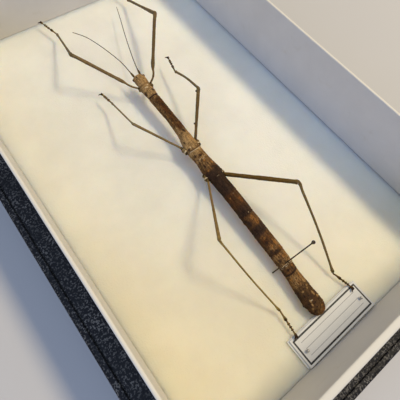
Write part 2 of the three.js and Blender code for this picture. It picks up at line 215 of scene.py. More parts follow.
def limb_line(name, start, count, margin):
    """A limb's middle line and thickness, from its end near start; margins are left at both ends."""
    points, _ = node_mesh(name)
    along = np.linalg.svd(points - points.mean(axis=0), full_matrices=False)[2][0]
    reach = points @ along
    line = cuts(name, along, np.linspace(reach.min() + margin, reach.max() - margin, count))
    far = np.linalg.norm(line[-1, :3] - start) < np.linalg.norm(line[0, :3] - start)
    return line[::-1] if far else line


def beyond(line, end, distance):
    """A point past the start of a line, where end is 0, or past its end, where end is -1."""
    inner = 1 if end == 0 else -2
    return line[end, :3] + unit(line[end, :3] - line[inner, :3]) * distance


# ---- meshes ----


class Shells:
    """Closed shells gathered into one mesh, with masks that the materials read."""

    def __init__(self, *masks):
        self.points, self.faces, self.count = [], [], 0
        self.masks = {name: [] for name in masks}

    def add(self, points, faces, **masks):
        """One shell; a mask is one value or one for each point, and 0 where it isn't given."""
        self.faces.extend([[index + self.count for index in face] for face in faces])
        self.points.append(points)
        self.count += len(points)
        for name, values in self.masks.items():
            value = masks.get(name, 0.0)
            values.append(np.broadcast_to(np.asarray(value, dtype=float), (len(points),)))

    def loft(self, rings, ring=False, **masks):
        """A skin through rings of points; it ends in poles, or joins up again as a ring."""
        rings = np.asarray(rings, dtype=float)
        n, m, _ = rings.shape
        index = np.arange(n * m).reshape(n, m)
        rows = np.vstack([index, index[:1]]) if ring else index
        beside = np.roll(rows, -1, axis=1)
        quads = np.stack([rows[:-1], beside[:-1], beside[1:], rows[1:]], axis=-1).reshape(-1, 4)
        points = rings.reshape(-1, 3)
        corner = points[quads]
        normal = np.cross(corner[:, 2] - corner[:, 0], corner[:, 3] - corner[:, 1])
        core = rings.mean(axis=0)[np.tile(np.arange(m), n)] if ring else points.mean(axis=0)
        outward = ((corner.mean(axis=1) - core) * normal).sum()
        faces = quads.tolist()
        values = {name: np.broadcast_to(v, (n, m)).reshape(-1) for name, v in masks.items()}
        if not ring:
            poles = [n * m, n * m + 1]
            points = np.vstack([points, rings[0].mean(axis=0), rings[-1].mean(axis=0)])
            for side in range(m):
                turn = (side + 1) % m
                faces.append([poles[0], int(index[0, turn]), int(index[0, side])])
                faces.append([poles[1], int(index[-1, side]), int(index[-1, turn])])
            for name, value in values.items():
                edge = [value[:m].mean(), value[-m:].mean()]
                values[name] = np.concatenate([value, edge])
        if outward < 0:
            faces = [face[::-1] for face in faces]
        self.add(points, faces, **values)

    def tube(self, path, radii, sides=10, shape=None, squash=1.0, **masks):
        """A round skin along a path; shape(angle) scales each side of it."""
        rings = tube_rings(path, radii, sides, shape, squash)
        masks = {name: np.reshape(value, (-1, 1)) for name, value in masks.items()}
        self.loft(rings, **masks)

    def blob(self, centre, halves, turn=None, sides=12, **masks):
        """An egg-shaped shell; turn is a 3x3 matrix of its three axes."""
        bend = np.linspace(POLE, math.pi - POLE, sides)[:, None]
        spin = circle(sides)
        ball = [np.sin(bend) * np.cos(spin), np.sin(bend) * np.sin(spin), np.cos(bend) + 0 * spin]
        ball = np.stack(ball, axis=-1) * halves
        self.loft(ball @ (np.eye(3) if turn is None else turn) + centre, **masks)

    def make(self, name, material, slot, *replaced, sharp=None):
        """The gathered shells as one piece, in place of the replaced nodes."""
        mesh = bpy.data.meshes.new(name)
        mesh.from_pydata((np.vstack(self.points) * MM).tolist(), [], self.faces)
        mesh.shade_smooth()
        if sharp:
            mesh.set_sharp_from_angle(angle=math.radians(sharp))
        for mask, values in self.masks.items():
            layer = mesh.attributes.new(mask, "FLOAT", "POINT")
            layer.data.foreach_set("value", np.concatenate(values).astype(np.float32))
        obj = bpy.data.objects.new(name, mesh)
        mesh.materials.append(material)
        bpy.context.scene.collection.objects.link(obj)
        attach(obj, "root")
        if replaced:
            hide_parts(*replaced)
        return obj


def frames(path):
    """The direction along a path at each of its points, and the ones across and above it."""
    tangent = np.gradient(np.asarray(path, dtype=float), axis=0)
    tangent /= np.linalg.norm(tangent, axis=1)[:, None]
    side = np.cross(tangent, UP)
    side /= np.linalg.norm(side, axis=1)[:, None] + 1e-12
    return tangent, side, np.cross(side, tangent)


def tube_rings(path, radii, sides, shape, squash):
    _, side, top = frames(path)
    angle = circle(sides)
    scale = np.asarray(radii, dtype=float)[:, None] * (shape(angle) if shape else 1.0)
    across = (scale * np.sin(angle))[..., None] * side[:, None, :]
    above = (scale * np.cos(angle) * squash)[..., None] * top[:, None, :]
    return np.asarray(path)[:, None, :] + across + above


# ---- shaders ----


class Finish:
    """One node material. Sockets take numbers, colours, or the output of another node."""

    def __init__(self, name, **constants):
        self.material = bpy.data.materials.new(name)
        self.material.use_nodes = True
        self.tree = self.material.node_tree
        self.tree.nodes.clear()
        self.shader = self.node("BsdfPrincipled", **constants)
        self.node("OutputMaterial", Surface=self.shader.outputs[0])
        self.place = self.node("TexCoord").outputs["Object"]

    def node(self, kind, settings=None, **sockets):
        """A node with its inputs, by name with _ for a space, or by _ and their number."""
        node = self.tree.nodes.new("ShaderNode" + kind)
        for key, value in (settings or {}).items():
            setattr(node, key, value)
        for key, value in sockets.items():
            index = int(key[1:]) if key[0] == "_" else key.replace("_", " ")
            if isinstance(value, bpy.types.NodeSocket):
                self.tree.links.new(value, node.inputs[index])
            else:
                node.inputs[index].default_value = value
        return node

    def noise(self, size, detail=3.0, rough=0.55, stretch=None):
        """Noise from 0 to 1 with lumps of that size."""
        at = self.place
        if stretch:
            at = self.node("Mapping", Vector=at, Scale=stretch).outputs[0]
        scale = 1 / (size * MM)
        node = self.node("TexNoise", Vector=at, Scale=scale, Detail=detail, Roughness=rough)
        return node.outputs["Fac"]

    def cells(self, size, feature="F1"):
        settings = {"feature": feature}
        node = self.node("TexVoronoi", settings, Vector=self.place, Scale=1 / (size * MM))
        return node.outputs["Distance"]

    def mask(self, name):
        return self.node("Attribute", {"attribute_name": name}).outputs["Fac"]

    def math(self, operation, a, b=0.0):
        return self.node("Math", {"operation": operation}, _0=a, _1=b).outputs[0]

    def times(self, a, b):
        return self.math("MULTIPLY", a, b)

    def plus(self, a, b):
        return self.math("ADD", a, b)

    def spread(self, value, low, high, to_low=0.0, to_high=1.0):
        """The value moved from one range to another, along an S-shaped ramp."""
        settings = {"interpolation_type": "SMOOTHSTEP"}
        node = self.node("MapRange", settings, _0=value, _1=low, _2=high, _3=to_low, _4=to_high)
        return node.outputs[0]

    def level(self, noise, low, high):
        """Noise moved to a range, with its usual lows and highs at the ends of it."""
        return self.spread(noise, 0.3, 0.7, low, high)

    def mix(self, share, a, b, blend="MIX"):
        settings = {"data_type": "RGBA", "blend_type": blend}
        return self.node("Mix", settings, _0=share, _6=a, _7=b).outputs[2]

    def tint(self, colour, other, mask, share):
        """The colour with that share of another one where the mask is full."""
        return self.mix(self.times(mask, share), colour, other)

    def shade(self, colour, noise, low, high):
        """A colour made darker and lighter by noise."""
        level = self.level(noise, low, high)
        grey = self.node("CombineColor", _0=level, _1=level, _2=level).outputs[0]
        return self.mix(1.0, colour, grey, "MULTIPLY")

    def ragged(self, mask, wobble, reach, low, high):
        """A mask whose soft edge is broken up by noise."""
        noise = self.times(self.math("SUBTRACT", wobble, 0.5), 2 * reach)
        return self.spread(self.plus(mask, noise), low, high)

    def soft_edge(self, mask, wobble, reach):
        """A mask half as it is and half broken into patches."""
        return self.times(self.plus(mask, self.ragged(mask, wobble, reach, 0.3, 0.7)), 0.5)

    def finish(self, colour, roughness=None, height=None, depth=0.0):
        """The finished material; depth is how deep the bumps of height go."""
        parts = {"Base Color": colour, "Roughness": roughness}
        if height is not None:
            parts["Normal"] = self.node("Bump", Height=height, Distance=depth * MM).outputs[0]
        for socket, value in parts.items():
            if value is not None:
                self.tree.links.new(value, self.shader.inputs[socket])
        return self.material


def leatherette_finish():
    look = Finish("leatherette", Roughness=0.5, Specular_IOR_Level=0.2)
    pebbles = look.cells(0.75, "SMOOTH_F1")
    fine = look.noise(0.25, 2.0)
    scuffs = look.noise(14, 5.0, 0.7)
    # Painted glints: light specks over the pebbles, in uneven patches.
    specks = look.spread(look.noise(0.8, 1.0), 0.52, 0.62)
    glints = look.times(specks, look.spread(scuffs, 0.35, 0.65, 0.45, 1.0))
    colour = look.shade(look.mix(glints, LEATHERETTE, LEATHERETTE_GLINT), scuffs, 0.8, 1.5)
    height = look.plus(look.times(fine, 0.25), pebbles)
    return look.finish(colour, look.level(scuffs, 0.42, 0.62), height, 0.14)


def board_finish():
    look = Finish("white_board", Specular_IOR_Level=0.3)
    clouds = look.noise(22, 4.0)
    fibres = look.noise(0.5, 3.0, 0.6, (1, 1, 0.35))
    aged = look.spread(look.noise(9, 5.0, 0.7), 0.58, 0.8, 0.0, 0.5)
    colour = look.shade(look.mix(aged, BOARD, BOARD_AGED), clouds, 0.96, 1.02)
    colour = look.tint(colour, BOARD_RIM, look.mask("edge"), 0.9)
    height = look.plus(look.times(fibres, 0.5), look.noise(3, 2.0))
    return look.finish(colour, look.level(clouds, 0.5, 0.64), height, 0.05)


def foam_finish():
    look = Finish("foam", Specular_IOR_Level=0.2, Sheen_Weight=0.08, Sheen_Roughness=0.6,
                  Subsurface_Weight=0.8, Subsurface_Scale=18 * MM,
                  Subsurface_Radius=(1.0, 0.8, 0.55))
    bubbles = look.cells(0.8, "SMOOTH_F1")
    pores = look.spread(look.cells(1.7), 0.10, 0.20, 1.0, 0.0)
    clouds = look.noise(30, 4.0)
    # Painted warmer light: the foam turns yellower towards the label end and the left.
    colour = look.tint(FOAM, FOAM_WARM_LIGHT, look.mask("aged"), 0.7)
    colour = look.shade(colour, clouds, 0.95, 1.03)
    colour = look.tint(colour, FOAM_SHADE, pores, 0.22)
    colour = look.tint(colour, FOAM_SHADE, look.mask("pit"), 0.75)
    height = look.math("SUBTRACT", bubbles, look.times(pores, 0.5))
    return look.finish(colour, look.level(clouds, 0.88, 0.97), height, 0.08)


def card_finish(name):
    look = Finish(name, Specular_IOR_Level=0.25)
    fibres = look.noise(0.35, 4.0, 0.65)
    foxing = look.spread(look.noise(5, 5.0, 0.7), 0.6, 0.85, 0.0, 0.55)
    colour = look.shade(look.mix(foxing, CARD, CARD_FOXED), fibres, 0.95, 1.03)
    colour = look.tint(colour, CARD_FOXED, look.mask("edge"), 0.45)
    return look, colour, look.plus(fibres, look.noise(2, 2.0))


# The print on the card: how far in the frame and the rules are, and their widths.
PRINT_INSET = 1.5
PRINT_WIDTH = 0.75
RULE_INSET = 4.4
RULE_WIDTH = 0.22
RULE_SPACING = 3.55


def printed_card_finish(half_width, half_depth):
    """Card with a printed frame and three writing lines, left blank."""
    look, colour, height = card_finish("label_card")
    axes = look.node("SeparateXYZ", Vector=look.place).outputs
    across, along = (look.math("ABSOLUTE", axis) for axis in axes[:2])
    wobble = look.times(look.math("SUBTRACT", look.noise(0.5, 2.0), 0.5), 0.10 * MM)

    def line(value, at, width):
        """1 on a thin line where the value is at that distance."""
        away = look.math("ABSOLUTE", look.math("SUBTRACT", value, at * MM))
        away = look.plus(away, wobble)
        return look.spread(away, 0.45 * width * MM, 0.75 * width * MM, 1.0, 0.0)

    def within(value, limit):
        return look.math("LESS_THAN", value, limit * MM)

    frame_x, frame_y = half_width - PRINT_INSET, half_depth - PRINT_INSET
    reach = PRINT_WIDTH / 3
    sides = look.times(line(across, frame_x, PRINT_WIDTH), within(along, frame_y + reach))
    ends = look.times(line(along, frame_y, PRINT_WIDTH), within(across, frame_x + reach))
    ink = look.math("MAXIMUM", sides, ends)
    for row in (-1, 0, 1):
        rule = line(axes[1], RULE_SPACING * row + 0.05, RULE_WIDTH)
        rule = look.times(rule, within(across, half_width - RULE_INSET))
        ink = look.math("MAXIMUM", ink, look.times(rule, 0.6))
    pale = look.spread(look.noise(0.3, 3.0), 0.3, 0.5, 0.75, 1.0)
    colour = look.mix(look.times(ink, pale), colour, INK)
    return look.finish(colour, look.spread(ink, 0.0, 1.0, 0.75, 0.5), height, 0.04)


def plain_card_finish(_half_width, _half_depth):
    look, colour, height = card_finish("label_back")
    return look.finish(colour, None, height, 0.04)


def metal_finish(name, colour, tarnish, metallic, roughness):
    look = Finish(name, Metallic=metallic)
    blotches = look.noise(1.1, 4.0, 0.65)
    shaded = look.mix(look.spread(blotches, 0.5, 0.68), colour, tarnish)
    scratches = look.noise(0.2, 2.0, 0.5, (1, 1, 0.2))
    rough = look.spread(blotches, 0.35, 0.7, roughness, roughness + 0.25)
    return look.finish(shaded, rough, scratches, 0.01)


# ---- the case ----


def rectangle_ring(half_x, half_y, radius, z, side_steps=28, corner_steps=7):
    """Points round a rectangle with rounded corners."""
    radius = max(radius, 0.05)
    arcs = []
    for sx, sy, start in ((1, 1, 0.0), (-1, 1, 0.5), (-1, -1, 1.0), (1, -1, 1.5)):
        middle = np.array((sx * (half_x - radius), sy * (half_y - radius)))
        angles = math.pi * (start + np.linspace(0, 0.5, corner_steps))
        arcs.append(middle + radius * np.stack([np.cos(angles), np.sin(angles)], axis=1))
    share = np.linspace(0, 1, side_steps + 1)[1:-1, None]
    points = []
    for arc, following in zip(arcs, arcs[1:] + arcs[:1]):
        points.extend([*arc, *(arc[-1] * (1 - share) + following[0] * share)])
    return np.column_stack([points, np.full(len(points), z)])


def rounded(corners, radii, steps):
    """An outline of (x, z) corners with each corner rounded off by its own radius."""
    corners = [np.array(corner, dtype=float) for corner in corners]
    previous, following = corners[-1:] + corners, corners[1:] + corners[:1]
    outline = []
    for before, corner, after, r in zip(previous, corners, following, radii):
        a, b = corner + unit(before - corner) * r, corner + unit(after - corner) * r
        for t in np.linspace(0, 1, steps):
            outline.append((1 - t) ** 2 * a + 2 * t * (1 - t) * corner + t**2 * b)
    return outline


HALF_X = abs(box("case_liner_left")[1, 0])
HALF_Y = abs(box("case_liner_head")[0, 1])
BASE_TOP = box("case_base")[1, 2]
LEDGE = box("case_shell_left")[1, 2]
RIM = box("case_liner_left")[1, 2]
FOAM_TOP = box("case_foam")[1, 2]
WALLS_LEAN = 1.7          # how far the rims of the white walls have come inwards
WALL_WAVES = 0.11         # how far the walls swell, towards their rims
LABEL_RIM_IN = 1.4        # how much further inwards the rim by the label reaches
LABEL_RIM_THICKER = 1.7   # and how much thicker it is in all
FOAM_GAP = 0.27           # between the foam and the walls in the solids
FOAM_GRID = 2.2           # the spacing of the points on top of the foam
FOAM_WAVES = 0.22         # how deep the foam's waves are
FOAM_WORN = 0.2           # how far its edges have sunk
PIT_DEPTH = 0.9           # the hollow round each pin, and its reach
PIT_REACH = 0.55
SEAM_FROM_WALL = 8.0      # the seam in the ledge, and its half width and depth
SEAM_HALF = 0.4
SEAM_DEPTH = 1.2
SIDES = ("left", "right", "head", "label")


def swept(profile, corner):
    """Rings round the case, for an outline given as (outwards from the inside, height)."""
    return np.array([rectangle_ring(HALF_X + out, HALF_Y + out, corner + out, z) for out, z in profile])


def add_plate(shells, rings, **masks):
    """A flat slab through a few rings, closed by a face at either end."""
    n, m, _ = rings.shape
    index = np.arange(n * m).reshape(n, m)
    beside = np.roll(index, -1, axis=1)
    quads = np.stack([index[:-1], beside[:-1], beside[1:], index[1:]], axis=-1)
    faces = [*quads.reshape(-1, 4).tolist(), index[0][::-1].tolist(), index[-1].tolist()]
    shells.add(rings.reshape(-1, 3), faces, **masks)


def make_shell():
    """The dark outside with its rounded edges and the seam in the ledge, and the base."""
    out = half_of("case_base")[0] - HALF_X
    near = box("case_shell_right")[0, 0] - HALF_X
    seam, deep = near + SEAM_FROM_WALL, LEDGE - SEAM_DEPTH
    corners = [
        (near, 0.0), (out, 0.0), (out, LEDGE), (seam + SEAM_HALF, LEDGE),
        (seam + 0.6 * SEAM_HALF, deep), (seam - 0.6 * SEAM_HALF, deep), (seam - SEAM_HALF, LEDGE),
        (near, LEDGE),
    ]
    radii = [0.2, 0.9, 1.3, 0.35, 0.1, 0.1, 0.35, 0.5]
    shells = Shells()
    shells.loft(swept(rounded(corners, radii, 5), 0.3), ring=True)
    plate = near + 0.2
    add_plate(shells, swept([(plate, 0.05), (plate, BASE_TOP)], 0.3))
    nodes = ["case_base", *[f"case_shell_{side}" for side in SIDES]]
    shells.make("case_outside", leatherette_finish(), "leatherette", *nodes, sharp=50)


def make_liner():
    """The four white walls, which swell and lean a little towards their rims."""
    out = half_of("case_liner_head")[0] - HALF_X
    outline = rounded([(0, BASE_TOP), (out, BASE_TOP), (out, RIM), (0, RIM)], [0.1, 0.1, 0.8, 0.8], 6)
    levels = []
    for point, following in zip(outline, outline[1:] + outline[:1]):
        levels.append(point)
        if abs(following[1] - point[1]) > 20:
            levels.extend(point + (following - point) * t for t in np.linspace(0, 1, 12)[1:-1])
    rings = swept(levels, 0.4)
    height = rings[..., 2]
    edge = bell(height, RIM, 0.5)
    reach = np.arctan2(rings[..., 1], rings[..., 0])
    wave = WALL_WAVES * soft_noise(height / 30, reach * 6 / math.pi, 12)
    wave *= smooth(FOAM_TOP, RIM, height)
    rings[..., :2] -= np.sign(rings[..., :2]) * np.abs(wave)[..., None]
    lift = clamp((height - FOAM_TOP) / (RIM - FOAM_TOP))
    depth = clamp((-rings[..., 1] - HALF_Y) / out)
    by_label = smooth(4 - HALF_Y, -HALF_Y, rings[..., 1])
    rings[..., 1] += lift * by_label * (LABEL_RIM_IN - LABEL_RIM_THICKER * depth)
    rings[..., 0] *= 1 - WALLS_LEAN * lift / HALF_X
    rings[..., 1] *= 1 - WALLS_LEAN * lift / HALF_Y
    shells = Shells("edge")
    shells.loft(rings, ring=True, edge=edge)
    nodes = [f"case_liner_{side}" for side in SIDES]
    shells.make("case_lining", board_finish(), "white_board", *nodes, sharp=60)


def make_foam(pits):
    """A slab with a grid on top that is finer where the pins go in."""
    low, high = box("case_foam") + np.array([[-1], [1]]) * (FOAM_GAP, FOAM_GAP, 0)
    lines = []
    for axis in (0, 1):
        even = np.linspace(low[axis], high[axis], int((high - low)[axis] / FOAM_GRID))
        close = [pit[axis] + np.linspace(-1.4, 1.4, 15) for pit in pits]
        edge = np.array((0.25, 0.6, 1.0, 1.5))
        values = np.concatenate([even, *close, low[axis] + edge, high[axis] - edge])
        lines.append(np.unique(np.round(values, 3)))
    x, y = np.meshgrid(*lines, indexing="ij")
    from_x, from_y = x - low[0], y - low[1]
    border = np.min([from_x, high[0] - x, from_y, high[1] - y], axis=0)
    drop = FOAM_WORN * (1 - smooth(-0.6, 1.4, border)) ** 1.5
    broad, small = (soft_noise(from_x / size, from_y / size) for size in (38, 7))
    waves = 0.5 + 0.5 * (0.75 * broad + 0.25 * small)
    pit_mask = np.max([bell(np.hypot(x - px, y - py), 0.0, PIT_REACH) for px, py in pits], axis=0)
    z = high[2] - drop - FOAM_WAVES * waves - PIT_DEPTH * pit_mask
    n, m = x.shape
    index = np.arange(n * m).reshape(n, m)
    quads = np.stack([index[:-1, :-1], index[1:, :-1], index[1:, 1:], index[:-1, 1:]], axis=-1)
    border_loop = np.concatenate([index[:-1, 0], index[-1, :-1], index[:0:-1, -1], index[0, :0:-1]])
    top = np.stack([x, y, z], axis=-1).reshape(-1, 3)
    skirt = top[border_loop] * (1, 1, 0) + (0, 0, low[2])
    low_index = n * m + np.arange(len(border_loop))
    after, low_after = np.roll(border_loop, -1), np.roll(low_index, -1)
    sides = np.stack([border_loop, low_index, low_after, after], axis=-1)
    faces = [*quads.reshape(-1, 4).tolist(), *sides.tolist(), low_index[::-1].tolist()]
    points = np.vstack([top, skirt])
    # Where the painted warmer light falls on the foam: towards the label end and the left.
    aged = smooth(-10, -150, points[:, 1] + 0.45 * points[:, 0])
    shells = Shells("pit", "aged")
    shells.add(points, faces, pit=np.append(pit_mask, np.zeros(len(skirt))), aged=aged)
    foam = shells.make("foam_bed", foam_finish(), "foam", "case_foam", sharp=50)


# ---- pins and label ----

SPECIMEN_SHAFT = 0.35     # the pins' radii
SPECIMEN_HEAD = 1.0
LABEL_SHAFT = 0.28


def pin_ends(name):
    """A pin's foot and its top, where the head is."""
    points, _ = node_mesh(name)
    centre = points.mean(axis=0)
    along = np.linalg.svd(points - centre, full_matrices=False)[2][0]
    reach = (points - centre) @ along
    across = np.linalg.norm(points - centre - reach[:, None] * along, axis=1)
    widest = reach[across.argmax()]
    low, high = reach.min(), reach.max()
    if abs(widest - low) < abs(widest - high):
        low, high = high, low
    return centre + along * low, centre + along * high


def make_pin(name, node, material, slot):
    """A pin with its point, shaft, collar and head; gives its foot and its direction."""
    foot, top = pin_ends(node)
    along = unit(top - foot)
    length = np.linalg.norm(top - foot)
    upright = abs(along[2]) > 0.99
    shaft = LABEL_SHAFT if upright else SPECIMEN_SHAFT
    head = half_of(node)[0] if upright else SPECIMEN_HEAD
    side = unit(np.cross(along, (0.0, 1.0, 0.0)))
    other = np.cross(side, along)
    neck = length - 2 * head
    profile = [(0.02, 0.0), (0.10, 0.35), (0.22, 1.1), (shaft, 2.2)]
    profile += [(shaft, z) for z in np.linspace(3, neck - 1.2, 14)]
    profile += [(shaft, neck - 0.5), (1.25 * shaft, neck - 0.3), (1.7 * shaft, neck - 0.05),
                (1.5 * shaft, neck + 0.1)]
    for angle in np.linspace(math.asin(1.4 * shaft / head), math.pi - POLE, 13):
        flat = 0.93 if angle > math.pi / 2 else 1.0
        profile.append((head * math.sin(angle), length - head - head * flat * math.cos(angle)))
    spin = circle(18)[:, None]
    shells = Shells()
    shells.loft([foot + along * z + r * (np.cos(spin) * side + np.sin(spin) * other) for r, z in profile])
    shells.make(name, material, slot, node)
    return foot, along


def make_card(name, node, material):
    """A thin card turned as its solid is; material(half_width, half_depth) gives its look."""
    points, edges = node_mesh(node)
    runs = points[edges[:, 1]] - points[edges[:, 0]]
    longest = runs[np.linalg.norm(runs[:, :2], axis=1).argsort()[::-1]]
    straight = longest[np.abs(longest[:, 1]) < 0.05 * np.abs(longest[:, 0])][0]
    turn = math.atan2(straight[1] * np.sign(straight[0]), abs(straight[0]))
    middle = middle_of(node)
    back = np.array(((math.cos(turn), math.sin(turn)), (-math.sin(turn), math.cos(turn))))
    half_x, half_y = np.abs((points[:, :2] - middle[:2]) @ back.T).max(axis=0)
    half_z = half_of(node)[2]
    levels = ((0.08, -half_z), (0.0, -0.5 * half_z), (0.0, 0.5 * half_z), (0.08, half_z))
    rings = [rectangle_ring(half_x - inset, half_y - inset, 0.12, z, 24, 3) for inset, z in levels]
    shells = Shells("edge")
    add_plate(shells, np.array(rings), edge=np.repeat([0.6, 1.0, 1.0, 0.3], len(rings[0])))
    card = shells.make(name, material(half_x, half_y), "label_card", node, sharp=40)
    card.location = Vector(middle * MM)
    card.rotation_euler = (0, 0, turn)


def make_label():
    """Two cards and their pins; gives where the pins go into the foam."""
    make_card("label_front", "label_card", printed_card_finish)
    make_card("label_back", "label_back_card", plain_card_finish)
    steel = metal_finish("label_pin_steel", STEEL, STEEL_DULL, 0.95, 0.12)
    pits = []
    for side in ("left", "right"):
        foot, _ = make_pin(f"pin_label_{side}", f"label_pin_{side}", steel, "label_pin_steel")
        pits.append(foot[:2])
    return pits


def make_specimen_pin():
    black = metal_finish("black_pin", BLACK_PIN, BLACK_PIN_WORN, 0.65, 0.22)
    foot, along = make_pin("mounting_pin", "specimen_pin", black, "black_pin")
    return (foot + along * (FOAM_TOP - foot[2]) / along[2])[:2]


# ---- the insect's finishes ----


def cuticle_finish():
    """Dried body shell, coloured by the masks of its mesh."""
    look = Finish("cuticle", Specular_IOR_Level=0.07)
    broad = look.noise(2.6, 4.0, 0.65)
    mottle = look.noise(0.95, 4.0, 0.7)
    grain = look.noise(0.22, 3.0, 0.6)
    streaks = look.noise(0.62, 4.0, 0.65, (1, 0.15, 1))
    wrinkles = look.noise(0.5, 3.0, 0.6, (0.3, 1.0, 0.3))
    specks = look.spread(look.cells(0.75), 0.14, 0.30, 1.0, 0.0)
    wobble = look.times(look.plus(mottle, streaks), 0.5)
    tan = look.soft_edge(look.mask("tan"), wobble, 0.8)
    rust = look.soft_edge(look.mask("rust"), mottle, 1.0)
    colour = look.mix(tan, look.mix(look.spread(broad, 0.35, 0.65), UMBER, UMBER_RED), TAN)
    colour = look.mix(rust, colour, RUST)
    gold = look.ragged(look.mask("gold"), streaks, 1.3, 0.3, 0.9)
    colour = look.tint(colour, OCHRE, gold, 0.8)
    light = look.times(look.spread(broad, 0.50, 0.70), tan)
    colour = look.tint(colour, PALE_TAN, light, 0.5)
    dark = look.soft_edge(look.mask("dark"), wobble, 1.2)
    colour = look.tint(colour, SOOT, dark, 0.92)
    for noise, low, high in ((streaks, 0.60, 1.36), (mottle, 0.68, 1.28), (wrinkles, 0.84, 1.12)):
        colour = look.shade(colour, noise, low, high)
    blots = look.spread(look.noise(1.5, 3.0, 0.7), 0.57, 0.66, 0.0, 0.6)
    colour = look.mix(blots, colour, SOOT)
    colour = look.tint(colour, SOOT, specks, 0.45)
    pale = look.ragged(look.mask("pale"), mottle, 0.8, 0.35, 0.75)
    colour = look.tint(colour, BONE, pale, 0.8)
    colour = look.shade(colour, grain, 0.82, 1.16)
    height = look.plus(look.times(streaks, 0.9), look.times(grain, 0.45))
    height = look.plus(height, look.times(wrinkles, 0.5))
    return look.finish(colour, look.level(mottle, 0.42, 0.62), height, 0.18)


def limb_finish(name, thigh, shin, dark):
    """The skin of a limb, with one colour for the thigh and one for the shin."""
    look = Finish(name, Specular_IOR_Level=0.07)
    rings = look.noise(2.8, 4.0, 0.65)
    mottle = look.noise(0.6, 4.0, 0.6)
    grain = look.noise(0.16, 3.0, 0.6)
    colour = look.shade(look.mix(look.mask("shin"), thigh, shin), rings, 0.84, 1.16)
    colour = look.mix(look.ragged(look.mask("dark"), mottle, 0.8, 0.3, 0.7), colour, dark)
    colour = look.mix(look.ragged(look.mask("pale"), mottle, 0.6, 0.35, 0.65), colour, BONE)
    colour = look.shade(look.shade(colour, mottle, 0.76, 1.18), grain, 0.88, 1.1)
    height = look.plus(look.times(mottle, 0.6), grain)
    return look.finish(colour, look.level(mottle, 0.45, 0.66), height, 0.05)


def eye_finish():
    look = Finish("eye", Specular_IOR_Level=0.3, Roughness=0.34)
    facets = look.cells(0.13, "DISTANCE_TO_EDGE")
    bands = look.noise(0.7, 2.0, 0.5, (1, 1, 0.4))
    colour = look.mix(look.spread(bands, 0.4, 0.6), EYE_BROWN, EYE_DARK)
    colour = look.mix(look.mask("pale"), colour, TAN)
    return look.finish(colour, None, look.spread(facets, 0.0, 0.25), 0.02)


CUTICLE = cuticle_finish()
CLAW_FINISH = limb_finish("claw_shell", LEG_DARK, LEG_BROWN, SOOT)
FEELER_FINISH = limb_finish("feeler_shell", LEG_BROWN, LEG_BROWN, SOOT)

# ---- the body ----

TRUNK = ["head", "prothorax", "mesothorax", "metathorax"]
TAIL = [f"abdomen_{i}" for i in range(1, 9)]

# How much tan, rust and soot each tone holds, over an umber ground.
TONES = {
    "tan": (1.0, 0.0, 0.0), "olive": (0.36, 0.05, 0.3), "umber": (0.0, 0.1, 0.12),
    "liver": (0.0, 0.22, 0.1), "rust": (0.08, 0.8, 0.05), "soot": (0.0, 0.0, 1.0),
    "brown": (0.2, 0.3, 0.22), "dun": (0.62, 0.1, 0.12), "moss": (0.34, 0.0, 0.46),
    "peat": (0.0, 0.08, 0.34), "ochre": (0.46, 0.34, 0.04), "fawn": (0.42, 0.15, 0.14),
    "bark": (0.22, 0.05, 0.52),
}
# Tones along the body, in millimetres towards the head, fading from one to the next.
BANDS = [
    (52, "tan"), (43.2, "tan"), (42.5, "dun"), (42.0, "dun"), (41.4, "tan"), (36, "tan"), (33.6, "tan"),
    (32.3, "dun"), (31.95, "soot"), (31.5, "soot"), (31.2, "fawn"), (29.8, "fawn"), (27.6, "umber"),
    (22, "liver"), (16, "umber"), (11, "liver"), (7.5, "brown"), (5.2, "umber"), (3.0, "liver"),
    (1.4, "fawn"), (-0.6, "dun"), (-2.5, "tan"), (-10.6, "tan"), (-12.6, "dun"), (-13.8, "olive"),
    (-14.8, "tan"), (-17.0, "dun"), (-18.2, "fawn"), (-19.2, "fawn"), (-20.4, "dun"), (-22.0, "fawn"),
    (-26.6, "fawn"), (-29.2, "brown"), (-31.0, "soot"), (-45.4, "soot"), (-48.0, "peat"),
    (-50, "umber"), (-56, "peat"), (-60, "soot"), (-62.2, "soot"), (-63.4, "brown"), (-65.6, "brown"),
    (-69.6, "brown"), (-71.4, "soot"), (-74.6, "soot"), (-76.4, "brown"), (-79, "liver"),
    (-82.4, "brown"), (-85, "ochre"), (-87, "brown"), (-88.2, "umber"), (-89.2, "ochre"),
    (-91.6, "ochre"), (-93.0, "fawn"), (-96, "fawn"), (-98.4, "brown"), (-100.2, "brown"),
    (-100.6, "soot"), (-101.0, "soot"), (-101.5, "ochre"), (-105.4, "ochre"), (-107.4, "fawn"),
    (-109.0, "moss"), (-112, "moss"), (-114, "bark"), (-118.6, "bark"), (-121, "moss"), (-123, "olive"),
    (-126, "brown"),
]
